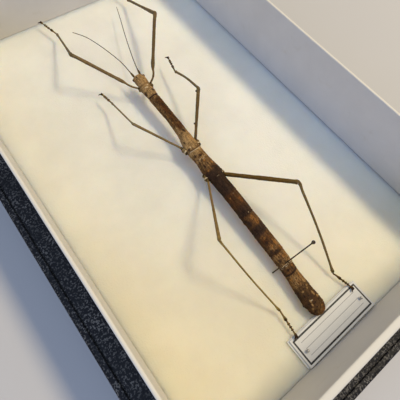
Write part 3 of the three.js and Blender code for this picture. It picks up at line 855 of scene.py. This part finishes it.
# Spots on the back, by mask: place across and along the body, and reach across and along.
SPOTS = {
    "tan": [
        (-2.6, -111.0, 0.5, 0.5), (-1.9, -109.8, 0.6, 0.6), (-1.7, -114.5, 0.9, 1.4),
        (-0.4, -117.1, 0.7, 0.8), (-5.8, -111.2, 0.7, 0.6), (-1.1, -107.0, 0.7, 1.6),
        (-7.2, -120.6, 0.4, 0.6), (-6.2, -122.9, 0.6, 0.7), (-4.2, -103.8, 1.7, 1.7),
        (-5.4, -106.0, 0.8, 1.4), (-6.0, -116.9, 0.4, 1.1), (-6.2, -118.8, 0.4, 0.8),
    ],
    "dark": [
        (3.5, 36.0, 1.1, 1.3), (-1.9, 36.0, 0.7, 1.8), (4.2, 40.2, 0.6, 0.9), (0.0, 49.4, 0.5, 0.5),
        (-0.4, 26.5, 0.4, 0.6), (-0.4, 23.5, 0.5, 0.8), (1.6, 22.7, 0.6, 1.4), (-0.4, 16.0, 0.4, 0.7),
        (-0.3, 11.5, 0.5, 0.5), (1.4, 15.0, 0.5, 1.6), (1.3, 8.6, 0.5, 1.0), (1.2, 0.4, 0.9, 1.7),
        (-1.0, -0.5, 0.7, 0.6), (-3.6, -6.6, 0.4, 1.2), (-4.2, -11.9, 0.8, 0.9),
        (-1.4, -18.8, 0.8, 1.0), (-0.6, -18.8, 0.7, 0.6), (-3.9, -17.4, 0.5, 1.3),
        (-2.8, -22.2, 0.5, 0.5), (-1.0, -25.4, 0.5, 0.9), (-3.6, -26.4, 0.6, 1.4),
        (0.5, -28.6, 1.6, 0.8), (-5.4, -65.1, 0.9, 1.1), (-4.7, -67.4, 1.4, 2.2),
        (-2.0, -72.4, 2.4, 1.6), (-5.0, -75.2, 0.9, 1.4), (-1.4, -81.4, 0.4, 1.2),
        (-4.0, -80.8, 0.7, 1.2), (-2.8, -87.5, 1.7, 1.1), (-5.0, -86.4, 0.8, 1.6),
        (-4.6, -92.4, 0.6, 1.2), (-4.4, -98.6, 0.7, 0.8), (-2.2, -99.0, 0.5, 0.7),
        (-6.8, -122.6, 1.2, 1.6), (-4.4, -110.3, 0.9, 0.7), (-2.8, -109.4, 0.5, 0.7),
        (-3.9, -108.8, 0.6, 0.4), (-3.4, -115.3, 1.4, 1.2), (-4.6, -118.6, 0.9, 0.6),
        (-4.8, -114.1, 0.6, 0.9), (-5.0, -120.9, 0.9, 0.6), (-7.4, -117.9, 0.7, 2.2),
        (-1.3, -118.6, 0.7, 0.6), (-6.6, -113.3, 0.6, 0.9), (-7.9, -110.7, 0.6, 1.5),
    ],
    "gold": [
        (-0.8, 14.0, 0.5, 1.2), (-0.9, 8.4, 0.5, 0.8), (1.4, -6.6, 0.6, 1.2), (-1.6, -23.0, 0.9, 1.0),
        (1.7, -25.6, 0.9, 1.5), (-3.6, -29.6, 0.5, 0.8), (-3.6, -49.6, 0.45, 0.5),
        (-1.3, -65.2, 1.3, 1.5), (-0.5, -68.2, 1.2, 2.2), (-3.4, -78.4, 0.7, 0.8),
        (-0.2, -82.6, 0.9, 2.0), (-2.9, -83.6, 0.5, 1.2), (0.9, -87.0, 0.6, 1.4),
        (-0.6, -91.4, 1.7, 1.1), (-3.2, -90.0, 0.6, 0.5), (-0.8, -97.6, 1.0, 0.8),
        (-6.2, -103.1, 0.8, 0.6), (-1.2, -103.4, 0.6, 0.9), (-1.8, -121.9, 0.7, 0.8),
    ],
    "rust": [
        (-0.8, -18.6, 1.2, 0.8), (0.4, -53.2, 1.3, 2.6), (-4.0, -104.4, 0.4, 0.8),
        (-4.2, -106.8, 0.5, 0.9), (-2.2, -124.0, 1.3, 0.8),
    ],
    # The two pale spots at the crack behind the pin and the one at -48.4 are painted glints; the others
    # are pale marks.
    "pale": [
        (0.9, 39.2, 1.5, 0.6), (2.6, 40.8, 0.7, 0.5), (-2.9, -11.4, 0.4, 0.5), (0.4, -20.4, 0.35, 0.4),
        (-2.8, -20.7, 0.5, 0.25), (-1.0, -21.4, 0.7, 0.2), (-3.7, -96.1, 0.95, 0.55),
        (0.3, -95.3, 0.5, 0.3), (-0.8, -34.9, 1.0, 0.12), (-0.7, -48.4, 0.6, 0.14),
        (-1.0, -61.8, 0.3, 0.4), (-5.2, -116.9, 0.8, 0.35),
    ],
}
# Lumps and hollows on the left flank: how tall, place along the body, and width.
FLANK = [
    (0.50, -116.9, 0.9), (-0.35, -119.3, 0.8), (0.34, -65.0, 0.9), (0.26, -74.6, 0.8),
    (-0.15, -67.5, 1.2),
]
# Other places along the body, and how finely its skin is divided along and round it.
CRACK = -95.95
PALE_ARC = -14.3
TAIL_CREASES = (-117.6, -121.2)
WRINKLED_BEHIND = -106
BODY_RINGS = 860
BODY_SIDES = 88


def body_sections():
    """Middle line and half sizes of the whole body, from tail to head."""
    eye_back, eye_front = box("eye_left")[:, 1]
    rows = []
    for name in TRUNK + TAIL:
        y0, y1 = box(name)[:, 1]
        rear = 0.6 if name in TRUNK + TAIL[-1:] else 1.7
        front = 0.6 if name in TRUNK else 1.7
        at = np.linspace(y0 + rear, y1 - front, max(4, int(y1 - y0)))
        if name == "head":
            at = at[(at < eye_back - 0.6) | (at > eye_front + 0.5)]
        rows.extend(cuts(name, np.array((0.0, 1.0, 0.0)), at))
    rows = np.array(rows)
    return rows[rows[:, 1].argsort()]


def joint_lines():
    """Where each body piece begins, from the head backwards."""
    return np.array([box(name)[1, 1] for name in TRUNK[1:] + TAIL])


def joint_bend(angle):
    """How far forward of its top a joint runs at a place round the body."""
    return np.minimum(1 - np.cos(angle), 1.0)


def body_relief(y, angle):
    """How far the skin stands out from the plain trunk; angle is 0 on top, and grows to the right."""
    around = angle / (2 * math.pi)
    lateral = np.abs(angle)
    back = smooth(2.0, 1.2, lateral)
    joints = joint_lines()

    def lumps(length, count):
        """Noise with lumps of that length, and that many of them round the body."""
        return soft_noise(y / length + 0 * angle, around * count, count)

    thorax = smooth(joints[2] - 18, joints[2] - 16, y) * smooth(52, 44, y)
    belly = smooth(joints[3] + 2, joints[3] - 2, y)
    relief = 0.09 * lumps(5.0, 8)
    relief += (0.05 + 0.03 * belly) * lumps(3.2, 26)
    relief += 0.045 * lumps(0.9, 34)
    relief += 0.16 * lumps(2.1, 18) * smooth(WRINKLED_BEHIND, WRINKLED_BEHIND - 4, y)
    relief += 0.16 * belly * bell(angle, -1.35, 0.3) * soft_noise(y / 2.6, 0 * around)
    relief += 0.035 * lumps(0.45, 60)
    relief += 0.20 * bell(angle, 0.0, 0.10) * (0.55 * thorax + 0.45 * belly) * smooth(43, 41, y)
    relief -= 0.26 * bell(lateral, 0.62, 0.26) * belly * (0.6 + 0.4 * np.sin(y * 0.7))
    relief -= 0.32 * bell(lateral, 1.85, 0.10) * belly
    relief += 0.16 * bell(lateral, 1.62, 0.10) * (belly + thorax)
    relief -= 0.12 * bell(lateral, 2.7, 0.2)
    for i, joint in enumerate(joints):
        wave = 0.10 * soft_noise(0 * y + 0.5, around * 14, 14)
        away = y - joint - wave - joint_bend(angle)
        depth = (0.26 if i in (0, 1, 3) else 0.17) * (0.45 + 0.55 * back)
        relief += 0.10 * smooth(-0.02, 0.08, away) * smooth(1.5, 0.2, away)
        relief -= depth * bell(away, -0.16, 0.15)
        relief -= 0.06 * smooth(-1.3, -0.2, away) * smooth(0.06, -0.04, away)
    pronotum = smooth(joints[1] + 0.4, joints[1] + 1.2, y) * smooth(joints[0], joints[0] - 0.8, y)
    middle = (joints[0] + joints[1]) / 2
    relief -= 0.30 * bell(y, middle + 0.3 + 0.5 * lateral, 0.40) * pronotum * back
    relief -= 0.18 * bell(angle, 0.0, 0.09) * pronotum
    relief += 0.16 * bell(lateral, 0.45, 0.22) * pronotum
    relief += 0.12 * back * (bell(y, joints[0] - 0.9, 0.35) + bell(y, joints[1] + 1.0, 0.35))
    head = smooth(joints[0] + 0.4, joints[0] + 1.6, y)
    relief -= 0.22 * bell(angle, 0.0, 0.08) * head * smooth(51, 49, y)
    relief -= 0.14 * bell(lateral, 0.55, 0.08) * head * smooth(50, 47, y)
    relief += 0.15 * bell(lateral, 0.30, 0.16) * head
    left = bell(angle, -1.45, 0.35)
    for tall, place, width in FLANK:
        relief += left * tall * bell(y, place, width)
    for line in TAIL_CREASES:
        away = y - line - 0.5 * np.cos(angle)
        relief -= 0.22 * bell(away, 0.0, 0.18) * smooth(2.4, 1.8, lateral)
        relief += 0.08 * bell(away, 0.6, 0.4)
    return relief + granules(y, angle, joints) + crack_relief(y, angle)


def granules(y, angle, joints):
    """Seeded grains on the back of the thorax, and fewer on the abdomen."""
    relief = np.zeros(np.broadcast(y, angle).shape)
    counts = [(joints[0], joints[1], 46), (joints[1], joints[2], 300), (joints[2], joints[3], 120),
              (joints[3], -121.0, 150), (50.0, joints[0], 50)]
    rows = y[:, 0]
    for high, low, count in counts:
        for _ in range(count):
            at = rng.uniform(min(low, high) + 0.4, max(low, high) - 0.4)
            spin = rng.normal(0.0, 0.85)
            size = rng.uniform(0.16, 0.30)
            tall = rng.uniform(0.06, 0.17)
            near = np.abs(rows - at) < 3 * size
            across = (angle[:1] - spin) * 3.3
            relief[near] += tall * np.exp(-(((y[near] - at) ** 2 + across**2) / size**2))
    return relief


def crack_line(angle):
    return CRACK + 0.28 * np.sin(3.1 * angle + 0.4) + 0.16 * np.sin(8.3 * angle) - 0.25 * angle


def crack_relief(y, angle):
    """The break behind the pin: a ragged slit with its front lip lifted."""
    away = y - crack_line(angle)
    on_back = smooth(1.75, 1.25, np.abs(angle))
    slit = -0.85 * bell(away, 0.0, 0.20) * on_back
    lip = 0.22 * bell(away, 0.55, 0.35) * on_back - 0.14 * bell(away, -0.9, 0.6) * on_back
    return slit + lip


def body_masks(x, y, angle):
    """Masks of tan, rust, dark, gold and pale over the skin."""
    around = angle / (2 * math.pi)
    joints = joint_lines()
    drift = soft_noise(0 * y + 0.5, around * 9, 9) + 0.5 * soft_noise(y / 2.0, around * 16, 16)
    calm = smooth(0.0, 2.0, np.min([np.abs(y - joint) for joint in joints], axis=0))
    at = y - joint_bend(angle) + drift * (0.15 + 0.85 * calm)
    stops = sorted(BANDS)
    places = [stop for stop, _ in stops]
    masks = {"pale": 0 * at, "gold": 0 * at}
    for i, name in enumerate(("tan", "rust", "dark")):
        masks[name] = np.interp(at, places, [TONES[tone][i] for _, tone in stops])

    def raise_to(name, value):
        masks[name] = np.maximum(masks[name], value)

    def fade(name, share):
        masks[name] = masks[name] * (1 - share)

    upper = smooth(1.75, 1.35, np.abs(angle))
    top = smooth(1.6, 1.2, np.abs(angle))
    for name, spots in SPOTS.items():
        for sx, sy, rx, ry in spots:
            spot = np.exp(-(((x - sx) / rx) ** 2 + ((y - sy) / ry) ** 2) ** 1.5) * upper
            raise_to(name, spot)
            if name == "tan":
                fade("dark", 0.7 * spot)
    for joint in joints[4:]:
        edge = bell(y, joint - 0.3 + joint_bend(angle), 0.11) * upper * (0.5 + 0.5 * np.sin(5 * angle))
        raise_to("pale", 0.55 * edge)
    raise_to("pale", 0.75 * top * bell(y, PALE_ARC + 0.05 * (x + 0.9) ** 2, 0.30))
    edges = bell(np.abs(angle), 1.62, 0.12) * smooth(-46, -50, y)
    masks["rust"] = clamp(masks["rust"] + 0.5 * edges)
    fade("dark", 0.6 * edges)
    left = smooth(-0.15, -0.7, angle) * smooth(31.6, 30.6, at) * smooth(-1.5, 0.5, at)
    raise_to("tan", left * (0.40 + 0.25 * smooth(6.0, 3.5, at)))
    fade("dark", 0.7 * left)
    # Painted light: the right side of the abdomen, towards the lamp, is made lighter.
    right = smooth(0.2, 0.8, angle) * smooth(-43, -48, at) * smooth(-111, -107, at)
    masks["tan"] = np.minimum(masks["tan"] + 0.16 * right, 1)
    fade("dark", 0.3 * right)
    # Painted shade: the lower left flank of the abdomen, away from the lamp, is darkened in uneven
    # stretches, less near -105.
    under = smooth(-0.75, -1.2, angle) * smooth(-1.6, -1.45, angle) * smooth(-48, -54, y)
    under = under * (1 - 0.9 * bell(y, -105, 3.0))
    ragged = 0.5 + 0.5 * np.sin(y * 0.9 + 2.0 * np.sin(y * 0.37))
    raise_to("dark", under * (0.35 + 0.5 * ragged))
    # At the crack, painted shade darkens the slit, and its lips are pale broken edges.
    away = y - crack_line(angle)
    slit = bell(away, 0.0, 0.17) * smooth(1.75, 1.3, np.abs(angle))
    lips = np.maximum(bell(away, 0.38, 0.20), 0.7 * bell(away, -0.42, 0.18))
    fade("pale", slit)
    raise_to("pale", lips * top)
    raise_to("dark", slit)
    return masks


def make_body():
    """One skin over the whole trunk, from the tail to the lips; gives its middle line."""
    rows = body_sections()
    rows = rows[rows[:, 1] < rows[-1, 1] - 0.8]
    y0, y1 = rows[0, 1] - 0.5, rows[-1, 1]
    line = np.linspace(y0, y1, BODY_RINGS)
    table = np.array([np.interp(line, rows[:, 1], rows[:, k]) for k in (0, 2, 3, 4)])
    kernel = np.hanning(13)
    kernel /= kernel.sum()
    padded = np.pad(table, ((0, 0), (6, 6)), mode="edge")
    table = np.array([np.convolve(row, kernel, mode="valid") for row in padded])
    x, z, wide, tall = table[:, :, None]
    y = line[:, None]
    close = np.sqrt(clamp(1 - smooth(1.3, 0.0, y - y0) ** 2))
    close = close * (1 - 0.34 * clamp(1 - (y - y0) / 4.6) ** 1.7)
    close = close * np.sqrt(clamp(1 - smooth(1.1, 0.0, y1 - y) ** 5))
    close = np.maximum(close, 0.04)
    spin = np.linspace(-math.pi, math.pi, BODY_SIDES, endpoint=False)[None, :]
    relief = body_relief(y, spin)
    swell = 1.0 + 0.02 * np.cos(4 * spin)
    across = np.sin(spin) * ((wide + 0.04) * swell + relief) * close
    above = np.cos(spin) * ((tall - 0.06) * swell + relief) * close
    above = np.where(np.cos(spin) < 0, above * 0.94, above)
    rings = np.stack([x + across, y + 0 * spin, z + above], axis=-1)
    masks = body_masks(x + across, y + 0 * spin, spin + 0 * y)
    shells = Shells("tan", "rust", "dark", "pale", "gold")
    shells.loft(rings, **masks)
    shells.make("insect_body", CUTICLE, "brown_shell", *TRUNK, *TAIL)
    return rows


def make_head_parts(rows):
    """Lips, jaws and palps under the front of the head, small horns on it, and the eyes."""
    nose = rows[-1, :3]
    shells = Shells("dark", "pale", "tan", "rust")
    shells.blob(nose - (0, 0.7, 0.9), (1.5, 0.9, 1.3), tan=0.7, dark=0.2)
    shells.blob(nose - (0, 0.2, 1.9), (1.05, 0.5, 0.9), tan=0.5, dark=0.4)
    for side in (-1, 1):
        shells.blob(nose + (side * 0.85, -0.75, -2.1), (0.75, 0.7, 0.95), tan=0.3, dark=0.6)
        root = nose + (side * 1.3, -1.5, -2.2)
        bends = [(0, 0, 0), (0.5, 0.3, -0.9), (0.6, 1.0, -1.8), (0.2, 1.9, -2.2), (-0.2, 2.6, -2.0)]
        path = smooth_path([root + (side * a, b, c) for a, b, c in bends], 40)
        t = np.linspace(0, 1, 40)
        joints = 1 - 0.35 * np.abs(np.cos(t * math.pi * 4)) ** 6
        shells.tube(path, 0.19 * joints * (1 - 0.25 * t), 8, tan=0.8, dark=0.1)
        shells.blob(nose + (side * 0.95, -3.4, 2.25), (0.30, 0.45, 0.28), tan=0.8, dark=0.1)
    shells.make("mouthparts", CUTICLE, "tan_shell")
    eye = eye_finish()
    for side, sign in (("left", -1), ("right", 1)):
        node = f"eye_{side}"
        centre, half = middle_of(node), half_of(node)
        ball = Shells("pale")
        ball.blob(centre, half, sides=28)
        turn = circle(8)[:, None]
        socket = []
        for angle in circle(40):
            out = np.array((0, math.cos(angle), math.sin(angle)))
            on_rim = centre - (sign * 0.36 * half[0], 0, 0) + out * half
            socket.append(on_rim + 0.13 * (np.cos(turn) * out + np.sin(turn) * (1, 0, 0)))
        ball.loft(socket, ring=True, pale=0.9)
        ball.make(f"compound_eye_{side}", eye, "eye", node)


RING_LENGTH = 1.35        # of one ring of a feeler


def make_feeler(side):
    """A thick first joint, a short second one, and a ringed thread that thins to its tip."""
    node = f"antenna_{side}"
    line = limb_line(node, middle_of("head"), count=15, margin=0.6)
    path = smooth_path([beyond(line, 0, 1.2), *line[:, :3], beyond(line, -1, 0.6)], 520)
    reach = distance_along(path)
    section = reach / RING_LENGTH
    ringed = 1 - 0.22 * bell(section % 1, 0, 0.10) + 0.10 * (section % 1)
    thread = np.interp(reach, [0, 60, reach[-1]], [0.27, 0.22, 0.15]) * np.where(reach > 5.6, ringed, 1.0)
    arch = np.sin(clamp(reach / 4.4) * math.pi)
    scape = 0.42 * smooth(4.8, 4.1, reach) * (0.6 + 0.4 * arch)
    pedicel = 0.16 * bell(reach, 5.4, 0.42)
    radius = (thread + scape + pedicel) * np.sqrt(smooth(-0.05, 0.35, reach[-1] - reach) + 0.01)
    dark = 0.25 + 0.30 * smooth(3, 12, reach) + 0.25 * (np.floor(section) % 5 == 0)
    shells = Shells("dark", "pale")
    shells.tube(path, radius, 10, squash=0.85, dark=clamp(dark))
    shells.make(f"feeler_{side}", FEELER_FINISH, "antenna", node)


# ---- legs ----

LIMB_STEPS = 150
FOOT_STEPS = 200
FOOT_JOINTS = (0.0, 0.42, 0.57, 0.69, 0.79, 1.0)
HIP_RADIUS = 1.36
HIP_RING_RADIUS = 0.90


def ridged(angle):
    """A limb's outline with an edge along each of its four corners."""
    return 1.0 + 0.10 * np.cos(4 * (angle - math.pi / 4)) + 0.03 * np.cos(8 * (angle - math.pi / 4))


def thorn(shells, path, i, way, stand, size, lean=1.0, **masks):
    """A small tooth at a point of a limb; way is how far it points across and above the limb."""
    along, across, above = (axis[i] for axis in frames(path))
    out = unit(way[0] * across + way[1] * above)
    steps = np.linspace(0, 1, 5)
    points = [path[i] + out * (stand + size * t) + lean * along * size * 0.5 * t**2 for t in steps]
    shells.tube(points, 0.30 * size * (1 - steps) + 0.02 * size, 6, **masks)


def lump(shells, path, i, shift, halves, **masks):
    """A blob at a point of a limb, moved along, across and above it."""
    turn = np.array([axis[i] for axis in frames(path)])
    shells.blob(path[i] + np.array(shift) @ turn, halves, turn, **masks)


def limb_skin(shells, path, radius, dark, shin, teeth, sides):
    """A four-edged limb with small teeth along its two lower edges."""
    t = np.linspace(0, 1, LIMB_STEPS)
    shin = shin + 0 * t
    uneven = 1 + 0.05 * soft_noise(t * 14, 0 * t) + 0.025 * soft_noise(t * 60, 0 * t)
    shells.tube(path, radius * uneven, sides, ridged, dark=clamp(dark), shin=shin)
    for tooth in range(teeth):
        share = np.interp(tooth + rng.uniform(-0.2, 0.2), [0, teeth - 1], [0.25, 0.95])
        i = int(np.clip(share, 0.02, 0.98) * (LIMB_STEPS - 1))
        for sign in (-1, 1):
            size = rng.uniform(0.22, 0.42)
            thorn(shells, path, i, (0.7 * sign, -0.72), 0.98 * radius[i], size, dark=0.75, shin=shin[i])


def dress_leg(name):
    """One leg as one skin, from the hip to the last joint of the foot, and its claws."""
    kind = name.split("_")[0]
    body = middle_of({"front": "prothorax", "middle": "mesothorax", "hind": "metathorax"}[kind])
    body[1:] = middle_of(f"coxa_{name}")[1:]
    thigh = limb_line(f"femur_{name}", body, count=15, margin=1.0)
    shin = limb_line(f"tibia_{name}", thigh[-1, :3], count=13, margin=1.2)
    foot = limb_line(f"tarsus_{name}", shin[-1, :3], count=9, margin=0.5)
    hip, knee, ankle = beyond(thigh, 0, 0.9), beyond(thigh, -1, 0.8), beyond(shin, -1, 0.9)
    shells = Shells("dark", "pale", "shin")
    dress_hip(shells, name, hip, thigh)
    dress_thigh(shells, name, thigh, smooth_path([hip, *thigh[:, :3], knee], LIMB_STEPS))
    start = knee - unit(shin[0, :3] - knee) * 0.15
    dress_shin(shells, name, shin, smooth_path([start, *shin[:, :3], ankle], LIMB_STEPS))
    dress_foot(shells, name, foot, smooth_path([ankle, *foot[:, :3]], FOOT_STEPS))
    finish = limb_finish(f"leg_shell_{name}", *LEG_TONES[name], LEG_DARK)
    nodes = [f"{segment}_{name}" for segment in ("coxa", "femur", "tibia", "tarsus")]
    shells.make(f"leg_{name}", finish, "leg_shell", *nodes)


def dress_hip(shells, name, hip, thigh):
    """A long low hip along the side of the body, and the short ring that the thigh turns on."""
    low, high = box(f"coxa_{name}")
    sign = -1.0 if name.endswith("left") else 1.0
    outer = high[0] if sign > 0 else low[0]
    outer -= sign * (0.5 if name.startswith("front") else 0)
    far = low[1] if abs(low[1] - hip[1]) > abs(high[1] - hip[1]) else high[1]
    ahead = math.copysign(1.0, hip[1] - far)
    height = (low[2] + high[2]) / 2
    bends = [(outer - sign * 2.3, far + ahead * 0.2, height),
             (outer - sign * 1.75, far + ahead * 1.4, height + 0.15),
             (outer - sign * 1.45, (far + hip[1]) / 2, height + 0.1),
             hip - (0, ahead * 0.9, 0), hip]
    t = np.linspace(0, 1, 60)
    size = HIP_RADIUS * (1 + 0.10 * bell(t, 0.30, 0.12) - 0.16 * bell(t, 0.50, 0.07)
                         + 0.06 * bell(t, 0.66, 0.07) - 0.30 * smooth(0.72, 0.86, t))
    size *= np.sqrt(smooth(-0.03, 0.16, t) * smooth(1.03, 0.93, t) + 0.002)
    size *= 1 + 0.10 * soft_noise(t * 7, 0 * t)
    dark, pale = {
        "front": (0.8 * bell(t, 0.2, 0.14) + 0.7 * bell(t, 0.85, 0.08), 0.4 * bell(t, 0.5, 0.1)),
        "middle": (0.9 * bell(t, 0.12, 0.10) + 0.7 * bell(t, 0.86, 0.07), 0.85 * bell(t, 0.34, 0.09)),
        "hind": (0.5 * bell(t, 0.2, 0.2) + 0.9 * bell(t, 0.84, 0.06), 0.85 * bell(t, 0.64, 0.09)),
    }[name.split("_")[0]]
    shells.tube(smooth_path(bends, 60), size, 22, lambda a: 1 + 0.05 * np.cos(3 * a + 0.5),
                dark=clamp(dark + 0.25), pale=pale, shin=0.3)
    along = unit(thigh[0, :3] - hip)
    ring = smooth_path([hip - along * 0.6, hip + along * 0.4, hip + along * 1.4], 26)
    t = np.linspace(0, 1, 26)
    size = HIP_RING_RADIUS * np.sqrt(np.clip(np.sin(t * math.pi), 0.02, 1)) * (1 - 0.2 * t)
    shells.tube(ring, size, 16, dark=0.45 + 0.4 * bell(t, 0.8, 0.1))


def dress_thigh(shells, name, thigh, path):
    """The thigh, with a lobe on either side of the knee; front thighs are thin at their base."""
    t = np.linspace(0, 1, LIMB_STEPS)
    measured = thigh[:, 3:].min(axis=1)
    radius = np.interp(t, np.linspace(0.03, 0.98, len(measured)), measured)
    radius *= 0.86 + 0.14 * smooth(0.0, 0.05, t) + 0.16 * bell(t, 0.985, 0.028)
    dark = 0.6 * bell(t, 0.0, 0.02)
    if name.startswith("front"):
        middle = measured[len(measured) // 2]
        radius = np.minimum(radius, middle * (0.60 + 0.50 * smooth(0.19, 0.28, t)))
        radius *= 1 + 0.16 * bell(t, 0.31, 0.045)
    if name == "hind_right":
        radius *= 1 - 0.15 * smooth(0.55, 0.95, t)
    else:
        dark += 0.35 * smooth(0.95, 0.99, t) + 0.3 * bell(t, 0.52, 0.10)
    radius *= np.sqrt(smooth(1.012, 0.985, t))
    limb_skin(shells, path, radius, dark, 0.6 * smooth(0.86, 0.97, t), teeth=9, sides=20)
    wide = measured[-1]
    for sign in (-1, 1):
        lump(shells, path, -3, (0.25, sign * 0.62 * wide, -0.10), (0.95, 0.28, 0.75 * wide),
             dark=0.2, pale=0.45 if name == "hind_right" else 0.1)
    if name == "middle_right":
        for i, above, halves, dark, pale in ((46, 0.0, (0.60, 0.62, 0.55), 0.7, 0.1),
                                             (-9, 0.2, (0.62, 0.50, 0.55), 0.9, 0.0)):
            lump(shells, path, i, (0, -1.05 * radius[i], above), halves, dark=dark, pale=pale)
    if name == "hind_right":
        for i in range(118, 146, 4):
            thorn(shells, path, i, (-0.6, -0.8), 0.9 * radius[i], 0.6, dark=0.9)


def dress_shin(shells, name, shin, path):
    """The shin, which thins from the knee and flares at the ankle, with two spurs there."""
    t = np.linspace(0, 1, LIMB_STEPS)
    thin = np.median(shin[:, 3:].min(axis=1))
    taper = {"front_left": 0.35, "front_right": 0.4, "middle_left": 0.0}.get(name, 0.12)
    flare = 0.7 if name == "hind_left" else 0.42
    radius = thin * (0.97 + taper * smooth(0.5, 0.0, t) + 0.40 * smooth(0.09, 0.0, t)
                     + flare * smooth(0.91, 0.985, t)) * np.sqrt(smooth(1.01, 0.985, t))
    dark = 0.4 * bell(t, 0.02, 0.03) + 0.5 * smooth(0.94, 0.98, t) + 0.3 * bell(t, 0.35, 0.08)
    limb_skin(shells, path, radius, dark, 1.0, teeth=8, sides=16)
    for sign in (-1, 1):
        thorn(shells, path, -6, (0.8 * sign, -0.5), 0.8 * radius[-9], 0.55, 2.0, dark=0.8)


def dress_foot(shells, name, foot, path):
    """Five joints of the foot with a pad under each but the last, then two hooks and a lobe."""
    thick = np.median(foot[:, 3:].min(axis=1))
    stops = [int(share * (FOOT_STEPS - 1)) for share in FOOT_JOINTS]
    for joint, (first, last) in enumerate(zip(stops, stops[1:])):
        piece = path[max(first - 2, 0):last + 1]
        t = np.linspace(0, 1, len(piece))
        flare = 0.72 + 0.56 * smooth(0.45, 0.90, t) - (0.12 if joint == 4 else 0.0)
        size = thick * flare * np.sqrt(smooth(-0.04, 0.10, t) * smooth(1.04, 0.90, t) + 0.01)
        shells.tube(piece, size, 14, dark=0.35 + 0.6 * smooth(0.6, 1.0, t), squash=0.9)
        if joint < 4:
            lump(shells, path, last - 3, (0, 0, -0.62 * thick), (0.55, 0.40, 0.22), sides=10,
                 dark=0.1, pale=0.5)
    claws = Shells("dark", "pale")
    tip = path[-1]
    along, side, above = (axis[-1] for axis in frames(path))
    if along[2] < -0.2:
        along = unit(along * (1, 1, 0.3))
    bends = [(-0.5, 0.12, 0.05), (0.35, 0.50, 0.20), (0.80, 0.85, 0.12), (1.15, 1.00, -0.25),
             (1.25, 0.95, -0.70)]
    t = np.linspace(0, 1, 22)
    for sign in (-1, 1):
        hook = [tip + along * a + side * sign * b + above * c - (0.75 * max(a, 0), 0, 0)
                for a, b, c in bends]
        claws.tube(smooth_path(hook, 22), 0.48 * (1 - t) ** 0.6 + 0.02, 8, dark=0.7 + 0.3 * t)
    pad = tip + along * 0.35 - above * 0.10 - (0.25, 0, 0)
    claws.blob(pad, (0.80, 0.66, 0.42), np.array((along, side, above)), dark=0.8)
    claws.make(f"claws_{name}", CLAW_FINISH, "leg_shell")


def make_insect():
    make_head_parts(make_body())
    for side in ("left", "right"):
        make_feeler(side)
        for kind in ("front", "middle", "hind"):
            dress_leg(f"{kind}_{side}")


# ---- floor, light and camera, all placed in metres ----


def make_stage():
    size = 1.6
    mesh = bpy.data.meshes.new("floor")
    corners = [(-size, -size, 0), (size, -size, 0), (size, size, 0), (-size, size, 0)]
    mesh.from_pydata(corners, [], [(0, 1, 2, 3)])
    floor = bpy.data.objects.new("floor", mesh)
    bpy.context.scene.collection.objects.link(floor)
    look = Finish("floor", Roughness=0.9)
    mesh.materials.append(look.finish(look.shade(FLOOR, look.noise(400), 0.97, 1.02)))


def area_light(name, at, width, depth, power, colour):
    """A soft lamp that faces the middle of the case."""
    lamp = bpy.data.lights.new(name, "AREA")
    lamp.shape = "RECTANGLE"
    lamp.size, lamp.size_y, lamp.energy, lamp.color = width, depth, power, colour
    obj = bpy.data.objects.new(name, lamp)
    aim_at(obj, Vector(at), Vector((0, 0, 0.02)))


def aim_at(obj, at, aim, tilt=Quaternion()):
    obj.location = at
    obj.rotation_mode = "QUATERNION"
    obj.rotation_quaternion = (aim - at).to_track_quat("-Z", "Y") @ tilt
    bpy.context.scene.collection.objects.link(obj)


def make_light():
    world = bpy.data.worlds.new("studio")
    bpy.context.scene.world = world
    world.use_nodes = True
    world.node_tree.nodes["Background"].inputs[0].default_value = ROOM_LIGHT
    area_light("key", (0.655, -0.16, 1.13), 0.50, 0.16, 13.4, LAMP_LIGHT)
    area_light("ceiling", (-0.30, 0.10, 1.20), 1.3, 1.3, 5.8, CEILING_LIGHT)
    area_light("window", (-0.80, -0.70, 0.50), 0.45, 0.45, 3.7, WINDOW_LIGHT)


def make_camera():
    camera = bpy.data.objects.new("camera", bpy.data.cameras.new("camera"))
    camera.data.sensor_width = 36
    camera.data.lens = 30.33
    camera.data.clip_start = 0.005
    at, aim = Vector((-0.0739, -0.0921, 0.197)), Vector((-0.01476, -0.03744, 0.0175))
    roll = Quaternion((0, 0, 1), math.radians(10.44))
    aim_at(camera, at, aim, roll)
    bpy.context.scene.camera = camera
    bpy.context.scene.view_settings.view_transform = "Standard"


make_shell()
make_liner()
label_pits = make_label()
specimen_pit = make_specimen_pin()
make_foam([*label_pits, specimen_pit])
make_insect()
make_stage()
make_light()
make_camera()
